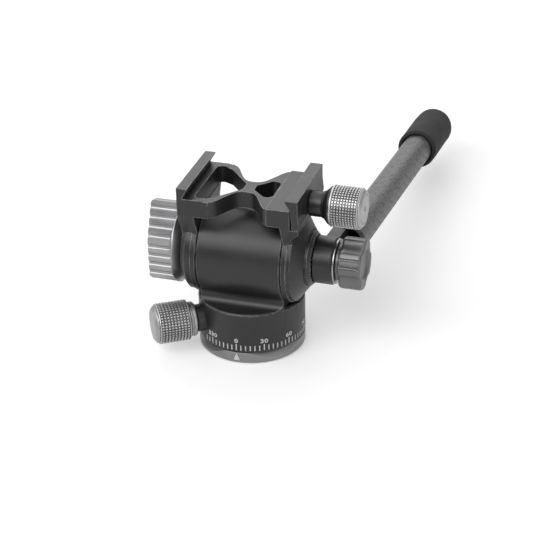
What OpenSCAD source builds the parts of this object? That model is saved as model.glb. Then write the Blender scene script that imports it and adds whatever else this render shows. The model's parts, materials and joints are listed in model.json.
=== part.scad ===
// Compact pan and tilt head for a tripod: a graduated pan barrel, a tilting yoke with a
// dovetail clamp, three lock knobs and a carbon handle with a foam grip.
// The origin is the centre of the base underside, on the pan axis.
// +X runs along the tilt axis towards the handle, +Y runs to the back, +Z is up.

/* [Fits] */
// Gap between pieces that pass each other
gap = 0.3; // [0.2:0.05:0.5]
// Gap between flat faces that slide on each other
face_gap = 0.1; // [0.05:0.05:0.2]
// Radial clearance of a shaft that turns or slides in its hole
run = 0.05; // [0.02:0.01:0.1]
// Radial clearance of pieces that are fastened into each other
seat = 0.02; // [0.01:0.01:0.05]
// Chamfer on the outer edges of turned pieces
edge = 0.5; // [0.2:0.1:0.8]

/* [Base plate] */
// Radius of the base plate and of the barrel above it
base_r = 19; // [17.5:0.5:24]
// Thickness of the base plate
base_h = 4.2; // [3.5:0.1:6]
// How far each slanted flat bites into the rim at its top
flat_bite = 2.9; // [1.5:0.1:3.5]
// Height of each slanted flat
flat_h = 2.8; // [1.5:0.1:3.2]
// Radius of the tapped hole, a 3/8 inch thread at its minor diameter
thread_r = 3.97; // [3.9:0.01:4.8]
// Depth of the tapped hole
thread_len = 9; // [7:0.5:12]
// Wall of the threaded bush
bush_wall = 2; // [1.5:0.1:2.5]
// Thickness of the flange that keeps the threaded bush from pulling out
bush_flange_t = 1.8; // [1.2:0.1:2.5]
// Width of that flange beyond the bush
bush_flange_w = 1; // [0.6:0.1:1.4]
// Shank radius of the base screws
base_screw_r = 1.25; // [0.9:0.05:1.4]
// Length of the base screws
base_screw_len = 7.6; // [6:0.2:8.4]
// Width of the base screws' heads beyond their shanks
base_head_w = 1.1; // [0.8:0.1:1.2]
// Radius of the six-sided key hole in the base screws
hex_key_r = 1.1; // [0.8:0.1:1.2]

/* [Pan bearing] */
// Wall of the barrel around the retaining ring
barrel_wall = 2.8; // [2:0.1:3.2]
// Height of the graduated barrel
barrel_h = 15; // [14:0.5:20]
// How deep the retaining ring sits in the barrel
ring_recess = 0.4; // [0.2:0.1:0.8]
// Height of the retaining ring
ring_h = 3.2; // [2.5:0.1:4]
// Radius of the spanner holes in the retaining ring
spanner_hole_r = 0.9; // [0.6:0.1:1.2]
// Width of the ledge that the retaining ring gives the flange
ring_ledge = 2.6; // [2:0.1:3]
// Width of the brake flange beyond the spindle hub
flange_ledge = 2.6; // [2:0.1:3]
// Thickness of the brake flange
flange_t = 4.6; // [4:0.1:5.5]
// Thickness of the thrust washers
washer_t = 0.8; // [0.5:0.1:1]
// Radius of the spindle journal
journal_r = 6; // [5:0.25:7]
// Length of the spindle journal
journal_len = 4.4; // [3.5:0.1:5]
// Wall of the plain bearing bushes
bearing_wall = 2; // [1.5:0.1:2.4]

/* [Pan lock] */
// Angle of the pan lock, from the left towards the front
pan_lock_angle = 33; // [20:1:45]
// Travel of the pan lock in one turn
pan_lock_travel = 0.8; // [0.5:0.1:0.9]
// Radius of the brake shoe
shoe_r = 2.5; // [2:0.1:2.7]
// Length of the brake shoe
shoe_len = 2.2; // [1.8:0.1:2.4]
// Radius of the lock screw
pan_screw_r = 2.5; // [2:0.1:3]
// Radius of the lock screw's nose inside the shoe
pan_nose_r = 1.2; // [0.8:0.1:1.5]
// Length of that nose
nose_len = 1.3; // [0.8:0.1:1.5]
// Radius of the black ferrule that the lock screw runs in
ferrule_r = 4.9; // [4.2:0.1:5.4]
// How far the ferrule stands out of the barrel
ferrule_out = 1.9; // [1.5:0.1:3]
// Radius of the stepped collar
pan_collar_r = 6.2; // [5.6:0.1:6.8]
// Length of the stepped collar
pan_collar_len = 2.7; // [2:0.1:4]
// Bevel on both ends of the stepped collar
collar_step = 0.6; // [0.3:0.1:0.9]
// Radius of the pan lock's knurled grip
pan_grip_r = 7.3; // [7:0.1:9]
// Length of the pan lock's knurled grip
pan_grip_len = 11.2; // [8:0.2:14]
// Length of the pan lock's end cap
pan_cap_len = 1.6; // [1:0.1:2.5]

/* [Drum] */
// Radius of the drum
drum_r = 16.2; // [15.6:0.1:17]
// Length of the drum
drum_len = 30.2; // [28:0.2:31.4]
// Height of the tilt axis above the barrel
tilt_rise = 15.7; // [15.4:0.1:18]
// Radius of the fillet between the drum and the barrel
neck_fillet = 3; // [3:0.5:6]
// Radius of the tilt axle
axle_r = 6; // [5.4:0.1:6.6]
// Length of each tilt bush
tilt_bush_len = 8; // [5:0.5:11]
// Depth of the running pockets in the barrel below the arms, beyond the gap
pocket_depth = 0.4; // [0.2:0.1:1]

/* [Yoke] */
// Radius of the inner rim of each arm
arm_r = 16.2; // [15.8:0.1:16.4]
// Width of that rim along the tilt axis
rim_w = 1.9; // [1.4:0.1:2.4]
// Step from the rim to the outer part of the arm
rim_step = 0.5; // [0.3:0.1:0.8]
// Thickness of the left arm
left_arm_t = 6; // [5:0.1:6]
// Bevel on the outer edge of the left arm's disc
left_bevel = 1.9; // [1:0.1:2.4]
// Depth of the left arm's waist
left_waist = 0.4; // [0.2:0.1:1]
// Height above the tilt axis where the straight part of each arm starts
slab_rise = 3; // [2:0.1:4]
// Height above the tilt axis where the slanted ends of the arms meet the discs
slant_rise = 10; // [9:0.1:11]
// Height of the lower end of the left arm's waist above the tilt axis
waist_low_rise = 5; // [4.4:0.1:6]
// Height of the narrowest place of the left arm above the tilt axis
waist_mid_rise = 11.8; // [9:0.1:13]
// Height of the upper end of the left arm's waist above the tilt axis
waist_high_rise = 17.5; // [15:0.1:18.5]
// Thickness of the right arm without its cone
right_arm_t = 3.2; // [2.8:0.1:3.4]
// Length of the cone on the right arm
cone_len = 3.5; // [3:0.1:4]
// Radius of the small end of the cone
cone_end_r = 10.7; // [10.5:0.1:12.5]
// Height of the platform floor above the tilt axis
platform_rise = 25; // [24.8:0.1:28]
// Thickness of the platform
platform_t = 6.4; // [6:0.1:7]
// Length of the platform, front to back
platform_len = 31.6; // [28:0.2:32]
// Depth below the floor where the fixed jaw reaches its full width
chin_drop = 1.3; // [0.8:0.1:2]
// Distance of the left contact strip from the pan axis
strip_left = 12; // [11.4:0.1:13]
// Distance of the right contact strip from the pan axis
strip_right = 10.6; // [10:0.1:13]
// Depth of the shallow step between the contact strips
strip_step = 0.25; // [0.1:0.05:0.5]
// Half width of the narrowest part of the platform
waist_half = 4.2; // [3.8:0.1:6]
// Distance of the narrowest part from the pan axis
waist_x = 0.3; // [0:0.1:0.8]
// Half length of the hollow on each side of the waist
hollow_half = 10.4; // [9.8:0.1:10.8]
// Sharpness of the hollow, larger for a longer narrow part
hollow_power = 1.55; // [1.2:0.05:1.8]
// Thickness of the friction discs
friction_t = 1; // [0.8:0.1:1.4]
// Inner radius of the friction discs
friction_in_r = 9.5; // [9:0.1:11]
// Outer radius of the friction discs
friction_out_r = 14; // [12.5:0.1:14.5]

/* [Platform windows] */
// Corner radius of the left window
left_window_r = 2.2; // [1.6:0.1:2.6]
// Distance of the left window's wide end from the pan axis
left_window_x = 15.7; // [15:0.1:16.4]
// Half width of the left window at its wide end
left_window_y = 13.4; // [12:0.1:13.6]
// Distance of the place where the left window starts to narrow
left_window_wide = 10.5; // [9.8:0.1:11]
// Rib between the left window's corner and the edge of the platform, measured to the corner's centre
left_window_rib = 4.4; // [4:0.1:5]
// Distance of the left window's narrow end from the pan axis
left_window_tip = 1.6; // [1.2:0.1:2.4]
// Half width of the left window's narrow end
left_window_tip_y = 2.8; // [2.2:0.1:3]
// Corner radius of the right window
right_window_r = 2.2; // [1.6:0.1:2.4]
// Distance of the right window's wide end from the pan axis
right_window_x = 10.1; // [9.6:0.1:10.1]
// Half width of the right window at its wide end
right_window_y = 6.4; // [5.8:0.1:6.6]
// Distance of the right window's narrow end from the pan axis
right_window_tip = 2.4; // [2:0.1:3]
// Half width of the right window's narrow end
right_window_tip_y = 2.4; // [2:0.1:2.6]
// Corner radius of the right window's narrow end
right_tip_r = 1; // [0.6:0.1:1.4]

/* [Dovetail clamp] */
// Width of the dovetail plate that the clamp holds
plate_w = 38; // [37.6:0.1:38.4]
// Side play of the dovetail plate
plate_play = 0.3; // [0.1:0.05:0.4]
// Height of the clamp lips above the floor
lip_h = 3.9; // [3:0.1:5]
// How far each lip reaches over the plate
lip_reach = 1.9; // [1.2:0.1:2.4]
// Thickness of each lip's tip
lip_tip = 0.5; // [0.3:0.1:1]
// Wall of the fixed jaw behind the plate
fixed_jaw_wall = 1.9; // [1.6:0.1:2.6]
// Wall of the moving jaw behind the plate
jaw_wall = 2.65; // [2.4:0.05:3.2]
// How far the moving jaw reaches below the floor
jaw_drop = 7; // [6.6:0.1:7.4]
// How far the foot of the moving jaw flares out
jaw_flare = 0.45; // [0.3:0.05:1]
// Depth below the floor where that flare starts
flare_drop = 0.9; // [0.5:0.1:2]
// Height of the widest place above the jaw's lower edge
flare_rise = 1.5; // [1:0.1:2.5]
// How much the inner face of the moving jaw leans away from the platform
jaw_lean = 0.5; // [0.3:0.1:0.6]
// Length of the moving jaw, front to back
jaw_len = 32; // [28:0.2:33]
// Opening travel of the moving jaw
jaw_travel = 5; // [3:0.5:5.5]
// Width of the ledge below the moving jaw
ledge_w = 2.7; // [2:0.1:3]
// Height of the ledge below the moving jaw
ledge_h = 2; // [1.5:0.1:2.5]
// Depth of the clamp screw's axis below the floor
clamp_drop = 3.6; // [3.4:0.1:3.8]
// Radius of the clamp screw
clamp_screw_r = 2; // [1.6:0.1:2.1]
// Length of the clamp screw that stays in the platform when the jaw is open
thread_stay = 3.2; // [2.6:0.1:3.6]
// Distance of each guide pin from the clamp screw
guide_y = 9.5; // [8.5:0.1:12]
// Radius of the guide pins
guide_r = 1.5; // [1.1:0.1:1.7]
// Length of the guide pins that stays in the platform when the jaw is open
guide_stay = 3.5; // [2.5:0.1:4]
// Radius of the retaining clip on the clamp screw
clip_r = 2.9; // [2.6:0.1:3]
// Thickness of the retaining clip
clip_t = 0.6; // [0.4:0.1:0.8]

/* [Clamp knob] */
// Radius of the sleeve behind the clamp knob
sleeve_r = 4.5; // [4:0.1:5]
// Length of the sleeve
sleeve_len = 4.4; // [3.5:0.1:6]
// Length of the black cone
clamp_cone_len = 3.2; // [2:0.1:4]
// Radius of the clamp knob's knurled grip
clamp_grip_r = 7.3; // [7:0.1:8]
// Length of the clamp knob's knurled grip
clamp_grip_len = 10.2; // [8:0.2:13]
// Length of the clamp knob's end cap
clamp_cap_len = 1.1; // [0.8:0.1:2]

/* [Tilt lock] */
// Radius of the axle's threaded end
axle_thread_r = 4; // [3.5:0.1:4.5]
// Length of the axle's threaded end
axle_thread_len = 5.6; // [4.4:0.2:5.6]
// Radius of the pressure washer
press_washer_r = 9; // [8:0.1:10]
// Thickness of the pressure washer
press_washer_t = 0.8; // [0.6:0.1:1]
// Radius of the tilt knob's base disc
tilt_knob_r = 14.3; // [14:0.1:14.6]
// Length of the conical skirt
skirt_len = 2; // [1.8:0.1:3]
// How much the skirt narrows towards the arm
skirt_drop = 2.6; // [1:0.1:3.5]
// Thickness of the base disc's rim
disc_rim_t = 0.6; // [0.5:0.1:1]
// How far the boss stays inside the rim
boss_step = 1.8; // [1.4:0.1:2.4]
// Length of the conical boss under the wing
boss_len = 2.7; // [2.6:0.1:3.4]
// Radius of the boss where it meets the wing
boss_r = 7.6; // [7.2:0.1:8.4]
// Length of the wing beyond the disc
wing_len = 12.2; // [9:0.1:13]
// Distance of the wing's tips from the axis
wing_half = 14.6; // [14:0.1:15]
// Thickness of the wing at its middle
wing_mid_t = 8.2; // [7.4:0.1:9]
// Thickness of the wing at its tips
wing_tip_t = 2.6; // [2.2:0.1:3.4]
// How far the wing leans back at the top
wing_angle = 10.4; // [0:0.2:30]
// Size of the rounding at the wing's outer corners
wing_corner = 1.3; // [0.8:0.1:1.6]
// Width of the plain land across the middle of each face
land_w = 2.5; // [2:0.1:3]
// Distance between neighbouring flutes
flute_pitch = 3.35; // [3:0.05:3.5]
// Depth of the flutes
flute_depth = 0.5; // [0.3:0.05:0.6]
// Radius of the cutter that makes the flutes
flute_cut_r = 1; // [0.8:0.1:1.2]
// Radius of the threaded nut inside the tilt knob
tilt_nut_r = 6.2; // [5.6:0.1:6.6]
// Length of the threaded nut
tilt_nut_len = 5; // [4.8:0.1:5.2]

/* [Rosette and handle bracket] */
// Radius of the toothed rosette
rosette_r = 9.8; // [9.6:0.1:10.3]
// Bevel on the toothed end of the rosette
rosette_bevel = 1.2; // [0.8:0.1:1.5]
// Thickness of the rosette ring
rosette_t = 2.1; // [1.8:0.1:2.6]
// Depth of the rosette teeth
tooth_depth = 0.4; // [0.3:0.1:0.4]
// Radius of the axle flange below the rosette
axle_flange_r = 8.5; // [8.2:0.1:9]
// Thickness of the axle flange
axle_flange_t = 2; // [1.6:0.1:2.4]
// Inner radius of the rosette teeth
tooth_in_r = 6.4; // [5.6:0.1:7]
// Radius of the rosette screws
rosette_screw_r = 0.9; // [0.7:0.1:1]
// Width of the rosette screws' heads beyond their shanks
rosette_head_w = 0.3; // [0.2:0.1:0.4]
// Radius of the handle bracket's hub
bracket_r = 8.4; // [8:0.1:9.5]
// Length of the handle bracket's hub
bracket_len = 7.1; // [6:0.1:9]
// Height of the lug between the hub and the tube
lug_h = 9.4; // [7.5:0.1:10.5]
// How far the lug lies inside the hub's outer face
lug_inset = 2.1; // [1.4:0.1:2.4]

/* [Handle] */
// Slope of the handle, down towards its end
handle_slope = 6.6; // [0:0.2:15]
// Distance from the tilt axis to the open end of the tube
tube_start = 20.5; // [19:0.5:26]
// Length of the carbon tube
tube_len = 139; // [110:1:220]
// Outer radius of the carbon tube
tube_r = 5.95; // [5.8:0.05:7]
// Wall of the carbon tube
tube_wall = 1.5; // [1.2:0.1:2]
// How far the tube's axis lies inside the hub's outer face
tube_inset = 0.95; // [0.5:0.05:2]
// Length of the tongue inside the tube
tongue_len = 18; // [12:0.5:24]
// Radius of the handle set screw
set_screw_r = 1.25; // [1:0.05:1.5]
// Radius of the foam grip
grip_r = 7.9; // [7.6:0.1:10]
// Length of the foam grip
grip_len = 39.7; // [34:0.1:90]
// How far the foam grip reaches past the end of the tube
grip_over = 10; // [9:0.5:14]
// Length of the plug in the end of the tube
plug_len = 8; // [5:0.5:12]
// Thickness of the plug's flange
plug_flange_t = 1.2; // [0.8:0.1:1.6]

/* [Handle knob] */
// Radius of the handle knob's stud
stud_r = 3; // [2.5:0.1:3.2]
// Length of the stud that stays in the axle when the handle is loosened
stud_stay = 8.5; // [6:0.5:11]
// Radius of the bright washer
bright_washer_r = 8; // [7.5:0.1:8.4]
// Thickness of the bright washer
bright_washer_t = 0.6; // [0.4:0.1:1]
// Radius of the handle knob's neck
knob_neck_r = 6.6; // [6:0.1:7.2]
// Length of the handle knob's neck
knob_neck_len = 1.3; // [1:0.1:3]
// Radius over the lobes of the handle knob
lobe_r = 9.1; // [8.6:0.1:11]
// Length of the lobed part
lobe_len = 8.2; // [6:0.1:12]
// Number of lobes
lobe_count = 4; // [3:1:6]
// Depth of the scallops between the lobes
scallop_depth = 1.6; // [1:0.1:2.6]
// Radius of the scallops between the lobes
scallop_r = 5; // [4:0.1:6]
// Angle of the first lobe above the front
lobe_angle = 24; // [0:1:60]
// Travel of the handle knob when it is loosened
handle_lock_travel = 1.5; // [1:0.1:2]
// How far the stud ends below the end of the knob
stud_cover = 3; // [2.2:0.1:4]
// Radius of the dished end
dish_r = 5.6; // [5:0.1:6.2]
// Depth of the dished end
dish_depth = 0.9; // [0.5:0.1:1.2]
// Radius of the cutter for the two fine grooves on each lobe
grip_groove_r = 0.5; // [0.3:0.1:0.6]
// Angle of each fine groove from the middle of its lobe
grip_groove_angle = 9; // [7:0.5:11]

/* [Hidden] */
$fn = 96;
// overshoot of cutting tools, and the depth by which joined pieces run into each other
cut = 1;

// Base plate and threaded bush
bush_r = thread_r + bush_wall;
bush_flange_r = bush_r + bush_flange_w;
base_flats = 4;
base_screw_count = 4;
base_flat_angle = 45;
screw_head_r = base_screw_r + base_head_w;
screw_head_t = screw_head_r - base_screw_r;

// Pan bearing, from the base plate upwards
barrel_z = base_h + gap;
barrel_top = barrel_z + barrel_h;
ring_z = barrel_z + ring_recess;
ring_r = base_r - barrel_wall;
flange_r = ring_r - ring_ledge;
hub_r = flange_r - flange_ledge;
cavity_r = flange_r + gap;
lower_washer_z = ring_z + ring_h;
flange_z = lower_washer_z + washer_t + face_gap;
flange_top = flange_z + flange_t;
upper_washer_z = flange_top + face_gap;
ceiling_z = upper_washer_z + washer_t;
journal_top = flange_top + journal_len;
bore_top = journal_top + gap;
pan_bush_r = journal_r + run + bearing_wall;
screw_circle_r = (bush_flange_r + hub_r) / 2;
spanner_holes = 4;
spanner_circle_r = (ring_r + hub_r + gap) / 2;

// Pan lock, along its own outward axis
pan_lock_z = flange_z + flange_t / 2;
shoe_tip = flange_r + face_gap;
shoe_back = shoe_tip + shoe_len;
ferrule_in = shoe_back + pan_lock_travel + gap;
ferrule_end = base_r + ferrule_out;
pan_collar_start = ferrule_end + gap;
pan_grip_start = pan_collar_start + pan_collar_len;
pan_grip_end = pan_grip_start + pan_grip_len;
pan_screw_end = pan_grip_end - 2 * edge;

// Tilt axis and drum
tilt_z = barrel_top + tilt_rise;
drum_half = drum_len / 2;
tilt_bush_r = axle_r + run + bearing_wall;
fillet_y = sqrt(pow(drum_r + neck_fillet, 2) - pow(tilt_rise - neck_fillet, 2));
fillet_top = tilt_z - (tilt_rise - neck_fillet) * drum_r / (drum_r + neck_fillet);
pocket_r = arm_r + gap + pocket_depth;

// Yoke, seen from the front
arm_in = drum_half + gap;
left_out = arm_in + left_arm_t;
right_out = arm_in + right_arm_t;
cone_end = right_out + cone_len;
platform_z = tilt_z + platform_rise;
platform_under = platform_z - platform_t;
platform_half = platform_len / 2;
outer_arm_r = arm_r - rim_step;
slab_z = tilt_z + slab_rise;
slant_z = tilt_z + slant_rise;
slant_y = sqrt(outer_arm_r * outer_arm_r - slant_rise * slant_rise) - edge;
plate_half = plate_w / 2;
fixed_corner = plate_half + plate_play;
fixed_out = fixed_corner + fixed_jaw_wall;
fixed_tip = fixed_corner - lip_reach;
lip_top = platform_z + lip_h;
friction_recess = friction_t - (gap - face_gap);
waist_low = tilt_z + waist_low_rise;
waist_mid = tilt_z + waist_mid_rise;
waist_high = tilt_z + waist_high_rise;
chin_z = platform_z - chin_drop;
shoulder_half = platform_half - edge;
hollow_steps = 12;
left_window_wide_y = hollow(-left_window_wide) - left_window_rib;
tip_r = left_window_r / 2;

// Moving jaw and clamp screw
jaw_in = plate_half + gap;
jaw_in_low = jaw_in + jaw_lean;
jaw_out = plate_half + jaw_wall + gap;
jaw_foot = jaw_out + jaw_flare;
jaw_bottom = platform_z - jaw_drop;
jaw_tip = jaw_in - lip_reach;
jaw_half = jaw_len / 2;
flare_top = platform_z - flare_drop;
flare_low = jaw_bottom + flare_rise;
clamp_z = platform_z - clamp_drop;
clamp_thread_len = jaw_travel + thread_stay;
guide_len = jaw_travel + guide_stay + gap + jaw_lean;
ledge_top = jaw_bottom - gap;
ledge_out = plate_half + ledge_w;
spot_r = sleeve_r + gap;
spot_x = jaw_out + gap;
sleeve_start = spot_x + face_gap;
clamp_cone_start = sleeve_start + sleeve_len;
clamp_grip_start = clamp_cone_start + clamp_cone_len;
clamp_grip_end = clamp_grip_start + clamp_grip_len;
clamp_screw_end = clamp_grip_end - 2 * edge;
clamp_screw_tip = plate_half - clamp_thread_len + gap;
guide_end = jaw_out - edge;
clip_x = jaw_in_low + gap;
clip_pocket_end = clip_x + clip_t + face_gap;

// Tilt lock, along the outward axis on the left
press_washer_x = left_out + face_gap;
tilt_knob_start = press_washer_x + press_washer_t + face_gap;
rim_start = tilt_knob_start + skirt_len;
wing_start = rim_start + disc_rim_t;
wing_end = wing_start + wing_len;
wing_slope = (wing_mid_t - wing_tip_t) / (2 * wing_half - land_w);
tilt_nut_end = tilt_knob_start + tilt_nut_len;
flutes_per_side = 4;

// Rosette, handle bracket and handle, along the tilt axis on the right
rosette_end = cone_end + rosette_t;
rosette_in_r = stud_r + gap;
rosette_screw_circle = (axle_r + axle_flange_r) / 2;
rosette_screw_count = 3;
rosette_screw_in = 3;
rosette_screw_angle = 90;
rosette_head_r = rosette_screw_r + rosette_head_w;
tooth_count = 36;
bracket_start = rosette_end + face_gap;
bracket_end = bracket_start + bracket_len;
handle_x = bracket_end - tube_inset;
tube_in_r = tube_r - tube_wall;
tube_end = tube_start + tube_len;
grip_end = tube_end + grip_over;
grip_start = grip_end - grip_len;
lug_side = lug_inset - tube_inset;
lug_w = bracket_len - lug_inset - 2 * face_gap;
set_screw_in = tube_in_r / 2;
set_screw_angle = 45;
washer_x = bracket_end + face_gap;
knob_neck_x = washer_x + bright_washer_t + face_gap;
lobe_x = knob_neck_x + knob_neck_len;
lobe_end = lobe_x + lobe_len;
stud_in = cone_end - stud_stay - handle_lock_travel;
stud_end = lobe_end - stud_cover;

// Finishes
black = "#2b2b2d";
charcoal = "#3a3a3c";
titanium = "#77777a";
silver = "#9c9c9e";
steel = "#b4b4b6";
brass = "#b08d4f";
polymer = "#d8d4c8";
carbon = "#5b5b5d";
foam = "#1f1f20";

// A rod along X from one place to another
module rod(r, from, to) {
    translate([from, 0, 0]) rotate([0, 90, 0]) cylinder(r = r, h = to - from);
}

// A solid of revolution about X, from points of radius and distance
module turned(points) {
    rotate([0, 90, 0]) rotate_extrude() polygon(points);
}

// A turned tube with chamfered outer edges, along X
module collar_tube(r, bore, from, to, bevel) {
    turned([
        [bore, from], [r - bevel, from], [r, from + bevel],
        [r, to - bevel], [r - bevel, to], [bore, to]
    ]);
}

// Places its children on the tilt axis
module on_tilt() {
    translate([0, 0, tilt_z]) children();
}

// Places its children on the left end of the tilt axis, with +X outwards
module on_tilt_left() {
    on_tilt() rotate([0, 0, 180]) children();
}

// Places its children on the pan lock's outward axis
module on_pan_lock() {
    translate([0, 0, pan_lock_z]) rotate([0, 0, 180 + pan_lock_angle]) children();
}

// Places its children on the clamp screw's axis
module on_clamp() {
    translate([0, 0, clamp_z]) children();
}

// Places its children on the handle, with +X along the tube
module on_handle() {
    translate([handle_x, 0, tilt_z]) rotate([-handle_slope, 0, 0]) rotate([0, 0, 90]) children();
}

// Repeats its children evenly about Z
module around_z(count, first) {
    for (i = [0 : count - 1]) rotate([0, 0, first + i * 360 / count]) children();
}

// Repeats its children evenly about X
module around_x(count, first) {
    for (i = [0 : count - 1]) rotate([first + i * 360 / count, 0, 0]) children();
}

// Round plate with four slanted flats on its upper rim
module base_plate() {
    color(titanium) difference() {
        rotate_extrude() polygon([
            [bush_r + seat, 0], [base_r - edge, 0], [base_r, edge], [base_r, base_h], [bush_r + seat, base_h]
        ]);
        around_z(base_flats, base_flat_angle) translate([base_r - flat_bite, 0, base_h])
            rotate([0, atan2(flat_h, flat_bite), 0])
            translate([-base_r, -base_r, 0]) cube([2 * base_r, 2 * base_r, base_r]);
        around_z(base_screw_count, 0) translate([screw_circle_r, 0, 0]) {
            translate([0, 0, -cut]) cylinder(r = base_screw_r + seat, h = base_h + 2 * cut);
            translate([0, 0, -cut]) cylinder(r = screw_head_r + seat, h = cut + seat);
            translate([0, 0, seat]) screw_head(seat);
        }
    }
}

// Countersunk head, widest at the bottom
module screw_head(clear) {
    cylinder(r1 = screw_head_r + clear, r2 = base_screw_r + clear, h = screw_head_t + clear);
}

// Steel bush with the tripod thread and a flange that the spindle traps
module thread_bush() {
    color(steel) rotate_extrude() polygon([
        [thread_r, 0], [bush_r, 0], [bush_r, base_h], [bush_flange_r, base_h],
        [bush_flange_r, base_h + bush_flange_t], [bush_r, base_h + bush_flange_t],
        [bush_r, thread_len], [thread_r, thread_len]
    ]);
}

// Fixed spindle with the brake flange and the upper journal
module pan_spindle() {
    color(steel) difference() {
        union() {
            translate([0, 0, base_h]) cylinder(r = hub_r, h = flange_z - base_h);
            translate([0, 0, flange_z]) cylinder(r = flange_r, h = flange_t);
            translate([0, 0, flange_top - cut]) cylinder(r = journal_r, h = journal_len + cut);
        }
        translate([0, 0, base_h - cut])
            cylinder(r = bush_flange_r + seat, h = bush_flange_t + seat + cut);
        translate([0, 0, base_h]) cylinder(r = bush_r + seat, h = thread_len - base_h + gap);
        around_z(base_screw_count, 0) translate([screw_circle_r, 0, base_h - cut])
            cylinder(r = base_screw_r + seat, h = base_screw_len - base_h + gap + cut);
    }
}

// Countersunk screws that fasten the spindle to the base plate
module base_screws() {
    color(steel) around_z(base_screw_count, 0) translate([screw_circle_r, 0, seat]) difference() {
        union() {
            screw_head(0);
            cylinder(r = base_screw_r, h = base_screw_len);
        }
        translate([0, 0, -cut]) cylinder(r = hex_key_r, h = screw_head_t + cut, $fn = 6);
    }
}

// Neck between the barrel and the drum, with a concave fillet in front and behind
module neck() {
    intersection() {
        translate([-drum_half, 0, 0]) rotate([90, 0, 90]) linear_extrude(drum_len) difference() {
            translate([-fillet_y, barrel_top - cut]) square([2 * fillet_y, fillet_top - barrel_top + cut]);
            for (side = [-1, 1]) translate([side * fillet_y, barrel_top + neck_fillet])
                circle(r = neck_fillet);
        }
        cylinder(r = base_r, h = tilt_z);
    }
}

// Graduated barrel, neck and drum in one piece, hollow for the pan bearing and the tilt axle
module body_housing() {
    color(charcoal) difference() {
        union() {
            translate([0, 0, barrel_z]) rotate_extrude() polygon([
                [0, 0], [base_r - edge / 2, 0], [base_r, edge / 2], [base_r, barrel_h - edge],
                [base_r - edge, barrel_h], [0, barrel_h]
            ]);
            neck();
            on_tilt() collar_tube(drum_r, 0, -drum_half, drum_half, edge / 2);
        }
        for (side = [0, 180]) on_tilt() rotate([0, 0, side]) rod(pocket_r, drum_half, base_r + cut);
        on_tilt() rod(tilt_bush_r + seat, -drum_half - cut, drum_half + cut);
        translate([0, 0, barrel_z - cut]) cylinder(r = ring_r + seat, h = ring_recess + ring_h + cut);
        translate([0, 0, ring_z]) cylinder(r = cavity_r, h = ceiling_z - ring_z);
        translate([0, 0, ring_z]) cylinder(r = pan_bush_r + seat, h = bore_top - ring_z);
        on_pan_lock() rod(shoe_r + run, flange_r - cut, base_r);
        on_pan_lock() rod(ferrule_r + seat, ferrule_in, base_r + cut);
    }
}

// Threaded ring that holds the body on the spindle, with holes for a pin spanner
module pan_retaining_ring() {
    color(steel) difference() {
        translate([0, 0, ring_z]) cylinder(r = ring_r, h = ring_h);
        translate([0, 0, ring_z - cut]) cylinder(r = hub_r + gap, h = ring_h + 2 * cut);
        around_z(spanner_holes, 0) translate([spanner_circle_r, 0, ring_z - cut])
            cylinder(r = spanner_hole_r, h = ring_h / 2 + cut);
    }
}

// Thrust washer between two radii
module thrust_washer(in_r, out_r, z) {
    color(polymer) translate([0, 0, z]) rotate_extrude() polygon([
        [in_r, 0], [out_r, 0], [out_r, washer_t], [in_r, washer_t]
    ]);
}

// Thrust washer on the retaining ring
module pan_washer_lower() {
    thrust_washer(hub_r + gap, cavity_r - gap, lower_washer_z);
}

// Thrust washer between the flange and the ceiling of the barrel
module pan_washer_upper() {
    thrust_washer(pan_bush_r, cavity_r - gap, upper_washer_z);
}

// Plain bush around the spindle journal
module pan_bush() {
    color(brass) translate([0, 0, ceiling_z]) rotate_extrude() polygon([
        [journal_r + run, 0], [pan_bush_r, 0],
        [pan_bush_r, journal_top - ceiling_z], [journal_r + run, journal_top - ceiling_z]
    ]);
}

// Plain bush in one end of the drum
module tilt_bush() {
    color(brass) on_tilt()
        collar_tube(tilt_bush_r, axle_r + run, drum_half - tilt_bush_len, drum_half, 0);
}

module tilt_bush_right() {
    tilt_bush();
}

module tilt_bush_left() {
    mirror([1, 0, 0]) tilt_bush();
}

// Black threaded ferrule in the side of the barrel
module pan_lock_ferrule() {
    color(black) on_pan_lock() turned([
        [pan_screw_r + run, ferrule_in], [ferrule_r, ferrule_in], [ferrule_r, ferrule_end - edge / 2],
        [ferrule_r - edge / 2, ferrule_end], [pan_screw_r + run, ferrule_end]
    ]);
}

// Brake shoe that presses on the spindle flange
module pan_lock_shoe() {
    color(brass) on_pan_lock() difference() {
        rod(shoe_r, shoe_tip, shoe_back);
        rod(pan_nose_r + run, shoe_back - nose_len - face_gap, shoe_back + cut);
    }
}

// Lock screw with a nose that turns in the brake shoe
module pan_lock_screw() {
    color(steel) on_pan_lock() {
        rod(pan_nose_r, shoe_back - nose_len, shoe_back + cut);
        rod(min(pan_screw_r, shoe_r), shoe_back + face_gap, ferrule_in + gap);
        rod(pan_screw_r, ferrule_in + gap, pan_screw_end);
    }
}

// Stepped collar between the ferrule and the grip
module pan_lock_collar() {
    color(titanium) on_pan_lock() turned([
        [pan_screw_r + seat, pan_collar_start], [pan_collar_r - collar_step, pan_collar_start],
        [pan_collar_r, pan_collar_start + collar_step], [pan_collar_r, pan_grip_start - collar_step],
        [pan_collar_r - collar_step, pan_grip_start], [pan_screw_r + seat, pan_grip_start]
    ]);
}

// Knurled grip of the pan lock
module pan_lock_grip() {
    color(titanium) on_pan_lock() difference() {
        collar_tube(pan_grip_r, 0, pan_grip_start, pan_grip_end, edge);
        rod(pan_screw_r + seat, pan_grip_start - cut, pan_screw_end + seat);
    }
}

// Slightly domed end cap of the pan lock
module pan_lock_cap() {
    color(titanium) on_pan_lock() turned([
        [0, pan_grip_end], [pan_grip_r - edge, pan_grip_end],
        [pan_grip_r - 2 * edge, pan_grip_end + pan_cap_len / 2],
        [pan_grip_r - 4 * edge, pan_grip_end + pan_cap_len], [0, pan_grip_end + pan_cap_len]
    ]);
}

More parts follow.
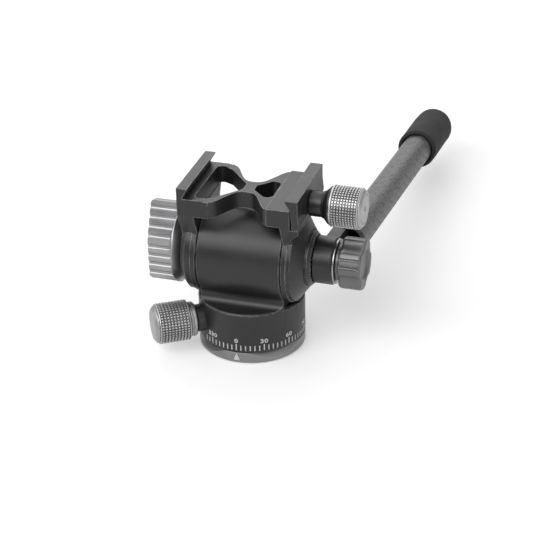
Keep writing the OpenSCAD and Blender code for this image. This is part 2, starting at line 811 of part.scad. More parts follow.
// Half width of the platform along X: a smooth hollow from the shoulders to the waist
function hollow(x) =
    waist_half + (shoulder_half - waist_half)
    * pow(pow(sin(90 * min(1, abs(x - waist_x) / hollow_half)), 2), hollow_power);

// Outline of the space in front of the waist
function hollow_outline(side) = concat(
    [[waist_x - hollow_half, side * (platform_half + cut)]],
    [for (i = [0 : 2 * hollow_steps])
        let (x = waist_x - hollow_half + i * hollow_half / hollow_steps) [x, side * hollow(x)]],
    [[waist_x + hollow_half, side * (platform_half + cut)]]
);

// Front view of the left arm, the platform and the right arm, as one outline
function yoke_front() = [
    [-arm_in, slab_z], [-left_out, slab_z], [-left_out, waist_low],
    [-left_out + left_waist, waist_mid], [-left_out + left_waist / 2, waist_high],
    [-fixed_out, chin_z], [-fixed_out, lip_top], [-fixed_tip, lip_top], [-fixed_tip, lip_top - lip_tip],
    [-fixed_corner, platform_z + gap], [-fixed_corner, platform_z],
    [plate_half, platform_z], [plate_half, ledge_top],
    [ledge_out, ledge_top], [ledge_out, ledge_top - ledge_h],
    [right_out, ledge_top - ledge_h - ledge_w], [right_out, slab_z], [arm_in, slab_z],
    [arm_in, platform_under], [-arm_in, platform_under]
];

// What the slanted ends of both arms leave free, on one side
module arm_slant() {
    span = fixed_out + ledge_out + 2 * cut;
    rotate([90, 0, 90]) translate([0, 0, -fixed_out - cut]) linear_extrude(span) polygon([
        [platform_half, platform_under], [slant_y, slant_z], [slant_y, slab_z - cut],
        [platform_half + cut, slab_z - cut], [platform_half + cut, platform_under]
    ]);
}

// Disc of an arm: a rim next to the drum, then a step and a taper outwards
module arm_disc(taper_start, end, end_r) {
    turned([
        [axle_r, arm_in], [arm_r - edge / 2, arm_in], [arm_r, arm_in + edge / 2], [arm_r, arm_in + rim_w],
        [outer_arm_r, arm_in + rim_w], [outer_arm_r, taper_start], [end_r, end], [axle_r, end]
    ]);
}

// Left window, wide at the fixed jaw and narrow at the waist
module left_window() {
    hull() {
        for (side = [-1, 1]) {
            translate([-left_window_x + left_window_r, side * (left_window_y - left_window_r)])
                circle(r = left_window_r, $fn = 32);
            translate([-left_window_wide, side * left_window_wide_y]) circle(r = tip_r, $fn = 32);
        }
    }
    hull() {
        for (side = [-1, 1]) {
            translate([-left_window_wide, side * left_window_wide_y]) circle(r = tip_r, $fn = 32);
            translate([-left_window_tip - tip_r, side * (left_window_tip_y - tip_r)])
                circle(r = tip_r, $fn = 32);
        }
    }
}

// Right window, between the waist and the moving jaw
module right_window() {
    hull() {
        for (side = [-1, 1]) {
            translate([right_window_x - right_window_r, side * (right_window_y - right_window_r)])
                circle(r = right_window_r, $fn = 32);
            translate([right_window_tip + right_tip_r, side * (right_window_tip_y - right_tip_r)])
                circle(r = right_tip_r, $fn = 32);
        }
    }
}

// Tilting yoke: two arms, the waisted platform and the fixed jaw
module yoke() {
    color(black) difference() {
        union() {
            difference() {
                translate([0, platform_half, 0]) rotate([90, 0, 0])
                    linear_extrude(platform_len) polygon(yoke_front());
                arm_slant();
                mirror([0, 1, 0]) arm_slant();
            }
            on_tilt_left() arm_disc(left_out - left_bevel, left_out, outer_arm_r - left_bevel);
            on_tilt() arm_disc(right_out, cone_end, cone_end_r);
        }
        for (side = [-1, 1]) translate([0, 0, platform_under - cut])
            linear_extrude(platform_t + 2 * cut) polygon(hollow_outline(side));
        translate([0, 0, platform_under - cut]) linear_extrude(platform_t + 2 * cut) {
            left_window();
            right_window();
        }
        translate([-strip_left, -platform_len, platform_z - strip_step])
            cube([strip_left + strip_right, 2 * platform_len, strip_step + cut]);
        on_tilt() rod(axle_r + seat, -left_out - cut, cone_end + cut);
        on_tilt() rod(axle_flange_r + seat, cone_end - axle_flange_t, cone_end + cut);
        for (side = [0, 180]) on_tilt() rotate([0, 0, side])
            rod(friction_out_r + seat, arm_in - gap, arm_in + friction_recess);
        on_tilt() around_x(rosette_screw_count, rosette_screw_angle) translate([0, 0, rosette_screw_circle])
            rod(rosette_screw_r + seat, cone_end - axle_flange_t - rosette_screw_in, cone_end);
        on_clamp() rod(clamp_screw_r + run, plate_half - clamp_thread_len, ledge_out + cut);
        for (side = [-1, 1]) on_clamp() translate([0, side * guide_y, 0])
            rod(guide_r + run, jaw_in_low - guide_len - gap, plate_half + cut);
    }
}

// Tilt axle with a flange on the right and a threaded end on the left
module tilt_axle() {
    color(steel) on_tilt() difference() {
        union() {
            rod(axle_r, -left_out, cone_end - axle_flange_t + cut);
            rod(axle_flange_r, cone_end - axle_flange_t, cone_end);
            rod(axle_thread_r, -left_out - axle_thread_len, -left_out + cut);
        }
        rod(stud_r + run, stud_in - gap, cone_end + cut);
        around_x(rosette_screw_count, rosette_screw_angle) translate([0, 0, rosette_screw_circle])
            rod(rosette_screw_r + seat, cone_end - axle_flange_t - cut, cone_end + cut);
    }
}

// Friction disc in the inner face of an arm
module friction_disc() {
    color(polymer) on_tilt()
        collar_tube(friction_out_r, friction_in_r, drum_half + face_gap, arm_in + friction_recess, 0);
}

module friction_disc_right() {
    friction_disc();
}

module friction_disc_left() {
    mirror([1, 0, 0]) friction_disc();
}

// Radial V grooves that leave the rosette teeth, cut into the face at x to the given side
module tooth_grooves(x, side) {
    around_x(tooth_count, 0) translate([x, 0, tooth_in_r]) linear_extrude(rosette_r) polygon([
        [side * tooth_depth, 0], [-side * cut, tooth_depth + cut], [-side * cut, -tooth_depth - cut]
    ]);
}

// Toothed ring on the right arm
module rosette_ring() {
    color(charcoal) on_tilt() difference() {
        turned([
            [rosette_in_r, cone_end], [rosette_r, cone_end], [rosette_r, rosette_end - rosette_bevel],
            [rosette_r - rosette_bevel, rosette_end], [rosette_in_r, rosette_end]
        ]);
        tooth_grooves(rosette_end, -1);
        around_x(rosette_screw_count, rosette_screw_angle) translate([0, 0, rosette_screw_circle]) {
            rod(rosette_screw_r + seat, cone_end - cut, rosette_end + cut);
            rod(rosette_head_r + seat, rosette_end - rosette_screw_r, rosette_end + cut);
        }
    }
}

// Small screws through the rosette and the axle flange into the arm
module rosette_screws() {
    color(steel) on_tilt() around_x(rosette_screw_count, rosette_screw_angle)
        translate([0, 0, rosette_screw_circle]) {
            rod(rosette_screw_r, cone_end - axle_flange_t - rosette_screw_in + gap, rosette_end - face_gap);
            rod(rosette_head_r, rosette_end - rosette_screw_r, rosette_end - face_gap);
        }
}

// Moving jaw with a spot face for the clamp screw's sleeve
module clamp_jaw() {
    color(black) difference() {
        translate([0, jaw_half, 0]) rotate([90, 0, 0]) linear_extrude(jaw_len) polygon([
            [jaw_in_low, jaw_bottom], [jaw_in, platform_z + gap],
            [jaw_tip, lip_top - lip_tip], [jaw_tip, lip_top], [jaw_out, lip_top],
            [jaw_out, flare_top], [jaw_foot, flare_low], [jaw_foot - edge, jaw_bottom]
        ]);
        on_clamp() rod(spot_r, spot_x, jaw_foot + cut);
        on_clamp() rod(clamp_screw_r + run, jaw_in - cut, jaw_foot + cut);
        on_clamp() rod(clip_r + gap, jaw_in - cut, clip_pocket_end);
        for (side = [-1, 1]) on_clamp() translate([0, side * guide_y, 0])
            rod(guide_r + seat, jaw_in - cut, guide_end);
    }
}

// Guide pins pressed into the jaw, which slide in the platform
module jaw_guide_pins() {
    color(steel) for (side = [-1, 1]) on_clamp() translate([0, side * guide_y, 0])
        rod(guide_r, jaw_in_low - guide_len, guide_end - seat);
}

// Clamp screw
module clamp_screw() {
    color(steel) on_clamp() rod(clamp_screw_r, clamp_screw_tip, clamp_screw_end);
}

// Retaining clip that makes the jaw follow the screw
module clamp_screw_clip() {
    color(steel) on_clamp() collar_tube(clip_r, clamp_screw_r + seat, clip_x, clip_x + clip_t, 0);
}

// Sleeve between the jaw and the clamp knob
module clamp_knob_sleeve() {
    color(titanium) on_clamp()
        collar_tube(sleeve_r, clamp_screw_r + seat, sleeve_start, clamp_cone_start, edge / 4);
}

// Black cone between the sleeve and the grip
module clamp_knob_collar() {
    color(black) on_clamp() turned([
        [clamp_screw_r + seat, clamp_cone_start], [sleeve_r, clamp_cone_start],
        [clamp_grip_r - edge, clamp_grip_start], [clamp_screw_r + seat, clamp_grip_start]
    ]);
}

// Knurled grip of the clamp knob
module clamp_knob_grip() {
    color(silver) on_clamp() difference() {
        collar_tube(clamp_grip_r, 0, clamp_grip_start, clamp_grip_end, edge);
        rod(clamp_screw_r + seat, clamp_grip_start - cut, clamp_screw_end + seat);
    }
}

// Chamfered end cap of the clamp knob
module clamp_knob_cap() {
    color(silver) on_clamp() turned([
        [0, clamp_grip_end], [clamp_grip_r - edge, clamp_grip_end],
        [clamp_grip_r - edge - clamp_cap_len, clamp_grip_end + clamp_cap_len],
        [0, clamp_grip_end + clamp_cap_len]
    ]);
}

// Pressure washer between the left arm and the tilt knob
module tilt_lock_washer() {
    color(steel) on_tilt_left()
        collar_tube(press_washer_r, axle_thread_r + run, press_washer_x, press_washer_x + press_washer_t, 0);
}

// Distances of the flutes from the middle of the wing's face, on one side of the land
function flute_places() = [
    for (i = [0 : flutes_per_side - 1]) land_w / 2 + (i + 0.25) * flute_pitch
];

// Half the wing's thickness at a distance from its middle
function wing_side(place) = wing_mid_t / 2 - wing_slope * (place - land_w / 2);

// Lozenge outline of the wing, seen from its end
module wing_outline() {
    mid = wing_mid_t / 2;
    long = wing_half + cut;
    tip = wing_side(long);
    polygon([
        [mid, land_w / 2], [tip, long], [-tip, long], [-mid, land_w / 2],
        [-mid, -land_w / 2], [-tip, -long], [tip, -long], [mid, -land_w / 2]
    ]);
}

// Wing of the tilt knob with rounded tips and rows of flutes on both faces
module fluted_wing() {
    difference() {
        intersection() {
            translate([wing_start - edge / 2, 0, 0]) rotate([90, 0, 90])
                linear_extrude(wing_len + edge / 2) wing_outline();
            turned([
                [0, wing_start - edge], [wing_half, wing_start - edge], [wing_half, wing_end - wing_corner],
                [wing_half - wing_corner * 0.3, wing_end - wing_corner * 0.3],
                [wing_half - wing_corner, wing_end], [0, wing_end]
            ]);
        }
        for (face = [0, 180], side = [-1, 1], place = flute_places()) rotate([face, 0, 0])
            translate([0, wing_side(place) + flute_cut_r - flute_depth, side * place])
            rod(flute_cut_r, wing_start, wing_end + cut);
    }
}

// Tilt knob: a base disc with a conical skirt, a boss and a fluted wing to hold it by
module tilt_lock_knob() {
    color(titanium) on_tilt_left() difference() {
        union() {
            turned([
                [0, tilt_knob_start], [tilt_knob_r - skirt_drop, tilt_knob_start],
                [tilt_knob_r - edge / 2, rim_start], [tilt_knob_r, rim_start + edge / 2],
                [tilt_knob_r, wing_start], [tilt_knob_r - boss_step, wing_start],
                [boss_r, wing_start + boss_len], [0, wing_start + boss_len]
            ]);
            rotate([wing_angle, 0, 0]) fluted_wing();
        }
        rod(tilt_nut_r + seat, tilt_knob_start - cut, tilt_nut_end);
    }
}

// Threaded nut inside the tilt knob
module tilt_lock_nut() {
    color(brass) on_tilt_left()
        collar_tube(tilt_nut_r, axle_thread_r + run, tilt_knob_start, tilt_nut_end, 0);
}

// Toothed hub, lug and the tongue that carries the tube
module handle_bracket() {
    color(black) difference() {
        union() {
            on_tilt() difference() {
                collar_tube(bracket_r, 0, bracket_start, bracket_end, edge);
                tooth_grooves(bracket_start, 1);
            }
            on_handle() translate([0, lug_side, -lug_h / 2]) cube([tube_start, lug_w, lug_h]);
            on_handle() intersection() {
                rod(tube_in_r - seat, tube_start - cut, tube_start + tongue_len);
                translate([0, lug_side, -tube_r]) cube([tube_start + tongue_len, 2 * tube_r, 2 * tube_r]);
            }
        }
        on_tilt() rod(stud_r + gap, bracket_start - cut, bracket_end + cut);
        handle_set_hole();
    }
}

// Places its children on the handle set screw, with +Z outwards through the tube's wall
module on_set_screw() {
    on_handle() translate([tube_start + tongue_len / 2, 0, 0])
        rotate([-90 - set_screw_angle, 0, 0]) children();
}

// Hole of the handle set screw, from below the tube
module handle_set_hole() {
    on_set_screw() translate([0, 0, set_screw_in]) cylinder(r = set_screw_r + seat, h = tube_r);
}

// Carbon tube with an open front end
module handle_tube() {
    color(carbon) difference() {
        on_handle() collar_tube(tube_r, tube_in_r, tube_start, tube_end, 0);
        handle_set_hole();
    }
}

// Set screw that holds the tube on the tongue
module handle_set_screw() {
    color(steel) on_set_screw() translate([0, 0, set_screw_in + face_gap])
        cylinder(r = set_screw_r, h = tube_r - edge - set_screw_in - face_gap);
}

// Plug in the back end of the tube, below the foam
module handle_end_plug() {
    color(black) on_handle() {
        rod(tube_in_r - seat, tube_end - plug_len, tube_end + seat);
        rod(tube_r, tube_end, tube_end + plug_flange_t);
    }
}

// Foam grip with a rounded closed end
module handle_grip() {
    color(foam) on_handle() difference() {
        union() {
            rod(grip_r, grip_start, grip_end - grip_r);
            translate([grip_end - grip_r, 0, 0]) rotate([0, 90, 0]) sphere(r = grip_r);
        }
        rod(tube_r + seat, grip_start - cut, tube_end + plug_flange_t + seat);
    }
}

// Bright washer between the hub and the handle knob
module handle_washer() {
    color(silver) on_tilt()
        collar_tube(bright_washer_r, stud_r + gap, washer_x, washer_x + bright_washer_t, 0);
}

// Lobed handle knob with a neck and a dished end
module handle_knob() {
    color(titanium) on_tilt() difference() {
        union() {
            rod(knob_neck_r, knob_neck_x, lobe_x + cut);
            difference() {
                collar_tube(lobe_r, 0, lobe_x, lobe_end, edge);
                around_x(lobe_count, -lobe_angle + 180 / lobe_count)
                    translate([0, -lobe_r - scallop_r + scallop_depth, 0])
                    rod(scallop_r, lobe_x - cut, lobe_end + cut);
                around_x(lobe_count, -lobe_angle) for (side = [-1, 1])
                    rotate([side * grip_groove_angle, 0, 0]) translate([0, -lobe_r, 0])
                    rod(grip_groove_r, lobe_x + edge, lobe_end - edge);
            }
        }
        rod(dish_r, lobe_end - dish_depth, lobe_end + cut);
        rod(stud_r + seat, knob_neck_x - cut, stud_end + seat);
    }
}

// Threaded stud of the handle knob
module handle_stud() {
    color(steel) on_tilt() rod(stud_r, stud_in, stud_end);
}

base_plate();
thread_bush();
pan_spindle();
base_screws();
body_housing();
pan_retaining_ring();
pan_washer_lower();
pan_washer_upper();
pan_bush();
tilt_bush_left();
tilt_bush_right();
pan_lock_ferrule();
pan_lock_shoe();
pan_lock_screw();
pan_lock_collar();
pan_lock_grip();
pan_lock_cap();
yoke();
tilt_axle();
friction_disc_left();
friction_disc_right();
rosette_ring();
rosette_screws();
clamp_jaw();
jaw_guide_pins();
clamp_screw();
clamp_screw_clip();
clamp_knob_sleeve();
clamp_knob_collar();
clamp_knob_grip();
clamp_knob_cap();
tilt_lock_washer();
tilt_lock_knob();
tilt_lock_nut();
handle_bracket();
handle_tube();
handle_set_screw();
handle_end_plug();
handle_grip();
handle_washer();
handle_knob();
handle_stud();
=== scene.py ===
# %% [markdown]
# # A small pan head with a handle
# The head stands on a tripod, turns on a graduated barrel, tilts on a drum and holds a camera plate in
# a dovetail clamp. Every size follows the measured solids, which are loaded first and stay where
# they are. The looks are worked out around them: numpy surfaces for the turned, knurled and lobed
# pieces, softened copies for the milled ones, and node materials for every finish.

# %% Load the measured frame
import json
import math

import bmesh
import bpy
import numpy as np
from mathutils import Matrix, Vector


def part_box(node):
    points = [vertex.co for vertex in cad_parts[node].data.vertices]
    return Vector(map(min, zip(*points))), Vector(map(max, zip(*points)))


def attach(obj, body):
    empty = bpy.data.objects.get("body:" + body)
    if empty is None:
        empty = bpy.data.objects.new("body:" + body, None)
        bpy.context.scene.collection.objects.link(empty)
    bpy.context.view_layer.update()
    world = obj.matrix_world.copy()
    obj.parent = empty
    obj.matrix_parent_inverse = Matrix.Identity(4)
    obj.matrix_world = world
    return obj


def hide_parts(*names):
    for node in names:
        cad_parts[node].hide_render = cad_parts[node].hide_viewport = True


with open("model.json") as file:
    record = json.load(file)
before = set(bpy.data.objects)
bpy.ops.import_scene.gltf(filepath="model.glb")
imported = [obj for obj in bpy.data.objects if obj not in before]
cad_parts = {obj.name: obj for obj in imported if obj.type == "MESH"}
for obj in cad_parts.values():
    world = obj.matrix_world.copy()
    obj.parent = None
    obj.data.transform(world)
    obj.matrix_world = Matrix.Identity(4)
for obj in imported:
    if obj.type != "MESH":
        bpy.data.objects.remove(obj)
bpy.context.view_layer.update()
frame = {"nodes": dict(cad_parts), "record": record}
MM = 0.001

# %% [markdown]
# ## Camera and light
# The camera stands at the photograph's angle, a little above the head and to its right. A product
# photographer would hang one wide soft panel where the drum mirrors it towards the camera: in front, to
# the left and about 45 degrees up. That puts a broad gleam along the drum and leaves what lies under the
# platform dark. Paler panels overhead, behind and at the sides fill the rest. Large area lamps give the
# wide gradients that satin metal shows.

# %% Camera
eye = Vector((0.17717, -0.54284, 0.33609))
back = Vector((0.26521, -0.83952, 0.47423))
flat_right = Vector((0.95355, 0.30124, 0.0))
flat_up = Vector((-0.14286, 0.45220, 0.88041))
roll = math.radians(-1.132)
right = math.cos(roll) * flat_right + math.sin(roll) * flat_up
upward = math.cos(roll) * flat_up - math.sin(roll) * flat_right
lens = bpy.data.cameras.new("camera")
lens.lens, lens.sensor_width = 123.894, 36.0
lens.clip_start, lens.clip_end = 0.01, 50.0
camera = bpy.data.objects.new("camera", lens)
bpy.context.scene.collection.objects.link(camera)
turn = Matrix((right, upward, back)).transposed().to_4x4()
camera.matrix_world = Matrix.Translation(eye) @ turn
bpy.context.scene.camera = camera
bpy.context.scene.view_settings.view_transform = "Standard"
print("camera", round(eye.length / MM), "mm from the tripod thread")

# %% Soft lamps, with sizes in metres and power in watts
def soft_lamp(name, place, aim, wide, tall, power):
    """A rectangular area lamp at place that looks at aim; its light leaves along its own -Z."""
    data = bpy.data.lights.new(name, "AREA")
    data.shape, data.size, data.size_y, data.energy = "RECTANGLE", wide, tall, power
    lamp = bpy.data.objects.new(name, data)
    lamp.location = place
    lamp.rotation_euler = (Vector(aim) - Vector(place)).to_track_quat("-Z", "Y").to_euler()
    bpy.context.scene.collection.objects.link(lamp)
    return lamp


soft_lamp("panel_front", (-0.30, -0.80, 0.86), (0.0, 0.0, 0.04), 1.2, 0.70, 9.0)
soft_lamp("panel_overhead", (0.0, 0.25, 1.0), (0.0, 0.02, 0.03), 1.2, 0.9, 2.2)
soft_lamp("panel_behind", (-0.30, 1.1, 0.64), (0.0, 0.0, 0.04), 1.2, 0.7, 4.3)
soft_lamp("panel_left", (-0.95, -0.10, 0.32), (0.0, 0.0, 0.03), 0.6, 0.5, 1.4)
soft_lamp("panel_right", (0.80, -0.55, 0.18), (0.0, 0.0, 0.03), 0.6, 0.4, 1.8)

# %% [markdown]
# ## Helpers for node materials
# A finish is a small graph of shader nodes. A few helpers keep the graphs readable: one adds a node with
# its settings and links in a single call, three more stand for sums, noise and ramps, and the last two
# start and place a node group with named sockets, so that an effect such as grain is built once and
# used by many finishes.

# %% Node helpers
def add(tree, kind, inputs=None, **settings):
    """Adds a node; inputs maps socket names or numbers to values, or to sockets that get linked."""
    made = tree.nodes.new(kind)
    for key, value in settings.items():
        setattr(made, key, value)
    for key, value in (inputs or {}).items():
        if isinstance(value, bpy.types.NodeSocket):
            tree.links.new(value, made.inputs[key])
        else:
            made.inputs[key].default_value = value
    return made


def sums(tree, operation, first, second=0.0, third=0.0):
    """One Math node; the result is operation(first, second, third)."""
    made = add(tree, "ShaderNodeMath", {0: first, 1: second, 2: third}, operation=operation)
    return made.outputs[0]


def noise(tree, vector, scale, detail, roughness=0.5):
    """Smooth noise about one half, with scale cells to the unit of the vector."""
    return add(tree, "ShaderNodeTexNoise", {"Vector": vector, "Scale": scale, "Detail": detail,
                                            "Roughness": roughness}).outputs["Fac"]


def ramp(tree, value, low, high, bottom=0.0, top=1.0):
    """A straight line from bottom, where value is low, to top, where it is high, and level outside."""
    return add(tree, "ShaderNodeMapRange", {"Value": value, "From Min": low, "From Max": high,
                                            "To Min": bottom, "To Max": top}).outputs["Result"]


def new_group(name, numbers, results):
    """Starts a node group that takes a Vector and numbers with defaults and gives numbers as results;
    returns its tree, its input sockets and its output sockets."""
    tree = bpy.data.node_groups.new(name, "ShaderNodeTree")
    tree.interface.new_socket("Vector", in_out="INPUT", socket_type="NodeSocketVector")
    for label, value in numbers.items():
        tree.interface.new_socket(label, in_out="INPUT", socket_type="NodeSocketFloat").default_value = value
    for label in results:
        tree.interface.new_socket(label, in_out="OUTPUT", socket_type="NodeSocketFloat")
    gives = tree.nodes.new("NodeGroupInput").outputs
    takes = tree.nodes.new("NodeGroupOutput").inputs
    return tree, gives, takes


def place_group(tree, group, inputs):
    """Puts a node group into a material with its own values."""
    return add(tree, "ShaderNodeGroup", inputs, node_tree=group)


# %% [markdown]
# ## Grain of a bead-blasted surface
# Anodised parts are blasted with fine beads before they are dyed, which leaves a soft, even grain about
# a quarter of a millimetre across. Fine noise gives the height of that grain, and wide noise gives the
# faint clouds in the dye. Object coordinates are in metres, so a grain of g mm needs a scale of 1000/g.

# %% Group: bead grain
grain_group, gives, takes = new_group("bead_grain", {"Grain": 0.22, "Cloud": 9.0}, ["Tint", "Rough", "Height"])
fine = noise(grain_group, gives["Vector"], sums(grain_group, "DIVIDE", 1000.0, gives["Grain"]), 2.0, 0.55)
cloud = noise(grain_group, gives["Vector"], sums(grain_group, "DIVIDE", 1000.0, gives["Cloud"]), 3.0)
speck = sums(grain_group, "MULTIPLY_ADD", fine, 0.30, -0.15)
drift = sums(grain_group, "MULTIPLY_ADD", cloud, 0.36, 0.82)
grain_group.links.new(sums(grain_group, "ADD", speck, drift), takes["Tint"])
grain_group.links.new(sums(grain_group, "MULTIPLY_ADD", cloud, 0.16, -0.08), takes["Rough"])
grain_group.links.new(fine, takes["Height"])
print("group", grain_group.name)

# %% [markdown]
# ## Worn edges and painted edge highlights
# Where a hand or a camera plate rubs, the dye thins along the edges first and bare metal shines through.
# The same pale edge colour also serves as a painted highlight that makes the edges look lit.
# A Bevel node gives a normal that is rounded near edges; where it leaves the true normal, there is an
# edge. Noise breaks the line up, so that the wear and the highlight are patchy.

# %% Group: edge wear and painted edge highlight
# Mask of pale edges: worn dye, and also a painted highlight along the edges.
wear_and_highlight_group, gives, takes = new_group("edge_wear", {"Width": 0.0005, "Amount": 0.5}, ["Mask"])
rounded = add(wear_and_highlight_group, "ShaderNodeBevel", {"Radius": gives["Width"]}, samples=4)
true_normal = add(wear_and_highlight_group, "ShaderNodeNewGeometry").outputs["Normal"]
apart = add(wear_and_highlight_group, "ShaderNodeVectorMath", {0: rounded.outputs[0], 1: true_normal},
            operation="DOT_PRODUCT")
edge = sums(wear_and_highlight_group, "MULTIPLY", sums(wear_and_highlight_group, "SUBTRACT", 1.0, apart.outputs["Value"]), 6.0)
patchy = ramp(wear_and_highlight_group, noise(wear_and_highlight_group, gives["Vector"], 420.0, 3.0), 0.40, 0.68, 0.15, 1.0)
worn_and_lit = sums(wear_and_highlight_group, "MULTIPLY", edge, patchy)
capped = add(wear_and_highlight_group, "ShaderNodeClamp", {"Value": sums(wear_and_highlight_group, "MULTIPLY", worn_and_lit, gives["Amount"])})
wear_and_highlight_group.links.new(capped.outputs[0], takes["Mask"])
print("group", wear_and_highlight_group.name)

# %% [markdown]
# ## Lathe marks
# Knobs, caps and collars are turned on a lathe, and the tool leaves fine rings about the axis. With the
# axis on X, the distance from the axis and the place along it are the only coordinates that matter, so
# noise of those two alone gives rings on end faces and on cylinders alike.

# %% Group: turned rings
ring_group, gives, takes = new_group("turned_rings", {"Pitch": 0.12}, ["Tint", "Height", "Radius"])
split = add(ring_group, "ShaderNodeSeparateXYZ", {0: gives["Vector"]})
reach = add(ring_group, "ShaderNodeCombineXYZ", {"Y": split.outputs["Y"], "Z": split.outputs["Z"]})
radius = add(ring_group, "ShaderNodeVectorMath", {0: reach.outputs[0]}, operation="LENGTH").outputs["Value"]
pair = add(ring_group, "ShaderNodeCombineXYZ", {"X": split.outputs["X"], "Y": radius})
rings = noise(ring_group, pair.outputs[0], sums(ring_group, "DIVIDE", 1000.0, gives["Pitch"]), 1.0)
ring_group.links.new(sums(ring_group, "MULTIPLY_ADD", rings, 0.28, 0.86), takes["Tint"])
ring_group.links.new(rings, takes["Height"])
ring_group.links.new(radius, takes["Radius"])
print("group", ring_group.name)

# %% [markdown]
# ## Finishes of the metal pieces
# Black and charcoal anodise are dyed oxide films: dark, satin and not mirror-like, so the shader is not
# metallic. Titanium and silver anodise let the aluminium shine through, so those are metallic with a
# broad gloss. Each finish takes the grain group, and the turned ones add the rings of the lathe.

# %% Parts that every finish shares
def new_finish(name):
    """A new material; returned with its node tree, its Principled shader and object coordinates."""
    material = bpy.data.materials.new(name)
    material.use_nodes = True
    tree = material.node_tree
    return material, tree, tree.nodes["Principled BSDF"], add(tree, "ShaderNodeTexCoord").outputs["Object"]


def tinted(tree, colour, tint):
    """The colour times a tint that varies about one."""
    grey = add(tree, "ShaderNodeCombineColor", {0: tint, 1: tint, 2: tint})
    mixed = add(tree, "ShaderNodeMix", {0: 1.0, 6: (*colour, 1.0), 7: grey.outputs[0]},
                data_type="RGBA", blend_type="MULTIPLY")
    return mixed.outputs[2]


def coat(tree, shader, colour, rough, height=None, strength=0.0, depth=0.0):
    """Links colour and roughness to the shader and, where a height is given, a bump of depth mm."""
    tree.links.new(colour, shader.inputs["Base Color"])
    tree.links.new(rough, shader.inputs["Roughness"])
    if height is not None:
        bump = add(tree, "ShaderNodeBump", {"Strength": strength, "Distance": depth * MM, "Height": height})
        tree.links.new(bump.outputs[0], shader.inputs["Normal"])


# %% Blasted and turned finishes
# Pale edge colour, for worn dye and for painted edge highlights.
BARE_METAL_AND_HIGHLIGHT = (0.42, 0.42, 0.43, 1.0)
# Share of the colour left at the bottom of a knurl's grooves: painted shade.
GROOVE_SHADE_TONE = 0.38


def anodised(name, colour, rough, metal=0.0, grain=0.22, wear_and_highlight=0.0):
    """A bead-blasted, dyed finish: colour x tint, rough + drift, grain as bump, and bare metal on
    edges that is partly wear and partly a painted highlight.
    """
    material, tree, shader, coords = new_finish(name)
    grains = place_group(tree, grain_group, {"Vector": coords, "Grain": grain})
    colours = tinted(tree, colour, grains.outputs["Tint"])
    # Edges turn pale: partly wear, partly a painted highlight.
    if wear_and_highlight:
        worn_and_lit = place_group(tree, wear_and_highlight_group, {"Vector": coords, "Amount": wear_and_highlight})
        colours = add(tree, "ShaderNodeMix", {0: worn_and_lit.outputs["Mask"], 6: colours, 7: BARE_METAL_AND_HIGHLIGHT},
                      data_type="RGBA").outputs[2]
    coat(tree, shader, colours, sums(tree, "ADD", grains.outputs["Rough"], rough),
         grains.outputs["Height"], strength=0.25, depth=0.05)
    shader.inputs["Metallic"].default_value = metal
    return material


def turned_metal(name, colour, rough, origin=(0, 0, 0), spin=0.0, metal=1.0, strength=0.12, grooves=None):
    """A lathe finish about an axis through origin (mm), turned by spin degrees about Z from X. With grooves,
    a pair of radii in mm, painted shade darkens a knurl from the outer radius to the inner one."""
    material, tree, shader, coords = new_finish(name)
    moved = add(tree, "ShaderNodeMapping", {"Vector": coords, "Location": [v * MM for v in origin],
                                            "Rotation": (0, 0, math.radians(spin))}, vector_type="TEXTURE")
    rings = place_group(tree, ring_group, {"Vector": moved.outputs[0]})
    grains = place_group(tree, grain_group, {"Vector": coords, "Grain": 0.18})
    tint = sums(tree, "MULTIPLY", rings.outputs["Tint"], grains.outputs["Tint"])
    # Painted shade: the colour darkens towards the bottom of the knurl's grooves.
    if grooves:
        groove_shade = ramp(tree, rings.outputs["Radius"], grooves[0] * MM, grooves[1] * MM, GROOVE_SHADE_TONE)
        tint = sums(tree, "MULTIPLY", tint, groove_shade)
    coat(tree, shader, tinted(tree, colour, tint), sums(tree, "ADD", grains.outputs["Rough"], rough),
         rings.outputs["Height"], strength, depth=0.03)
    shader.inputs["Metallic"].default_value = metal
    return material


# %% Heights of the axes and the main finishes
def height_of(node):
    """Height of the middle of a node's box, in mm."""
    low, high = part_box(node)
    return (low.z + high.z) / 2 / MM


tilt_height = height_of("friction_disc_left")
clamp_height = height_of("clamp_screw")
lock_height = height_of("pan_lock_screw")
LOCK_ANGLE = 213.0
# The wear on charcoal and titanium also paints a highlight along their edges.
black = anodised("black_anodise", (0.012, 0.012, 0.0125), 0.40)
charcoal = anodised("charcoal_anodise", (0.015, 0.015, 0.0155), 0.40, wear_and_highlight=1.0)
titanium = anodised("titanium_anodise", (0.25, 0.25, 0.255), 0.42, metal=0.8, wear_and_highlight=0.6)
print("axes at", [round(h, 2) for h in (tilt_height, clamp_height, lock_height)], "mm: tilt, clamp, lock")
print("finishes", black.name, charcoal.name, titanium.name)

# %% [markdown]
# ## Helpers for turned shapes
# Most pieces of the head come off a lathe, so their shape is a profile carried round an axis. The
# profile's sharp corners are first replaced by small curves, because every real edge has a radius that
# catches the light. The whole surface is then one array: profile points along one direction, angles
# along the other.

# %% Points about an axis
def line(origin, along, up):
    """An axis in mm: a point at distance a, radius r and angle t lies at
    origin + a * along + r * (cos t * side + sin t * up), with side = along x up."""
    o, a, u = (np.array(v, float) for v in (origin, along, up))
    return o, a, np.cross(a, u), u


def on_line(axis, a, r, t):
    """Points in metres for arrays of distance a, radius r and angle t."""
    o, along, side, up = axis
    a, r, t = np.broadcast_arrays(a, r, t)
    away = (r * np.cos(t))[..., None] * side + (r * np.sin(t))[..., None] * up
    return (o + a[..., None] * along + away) * MM


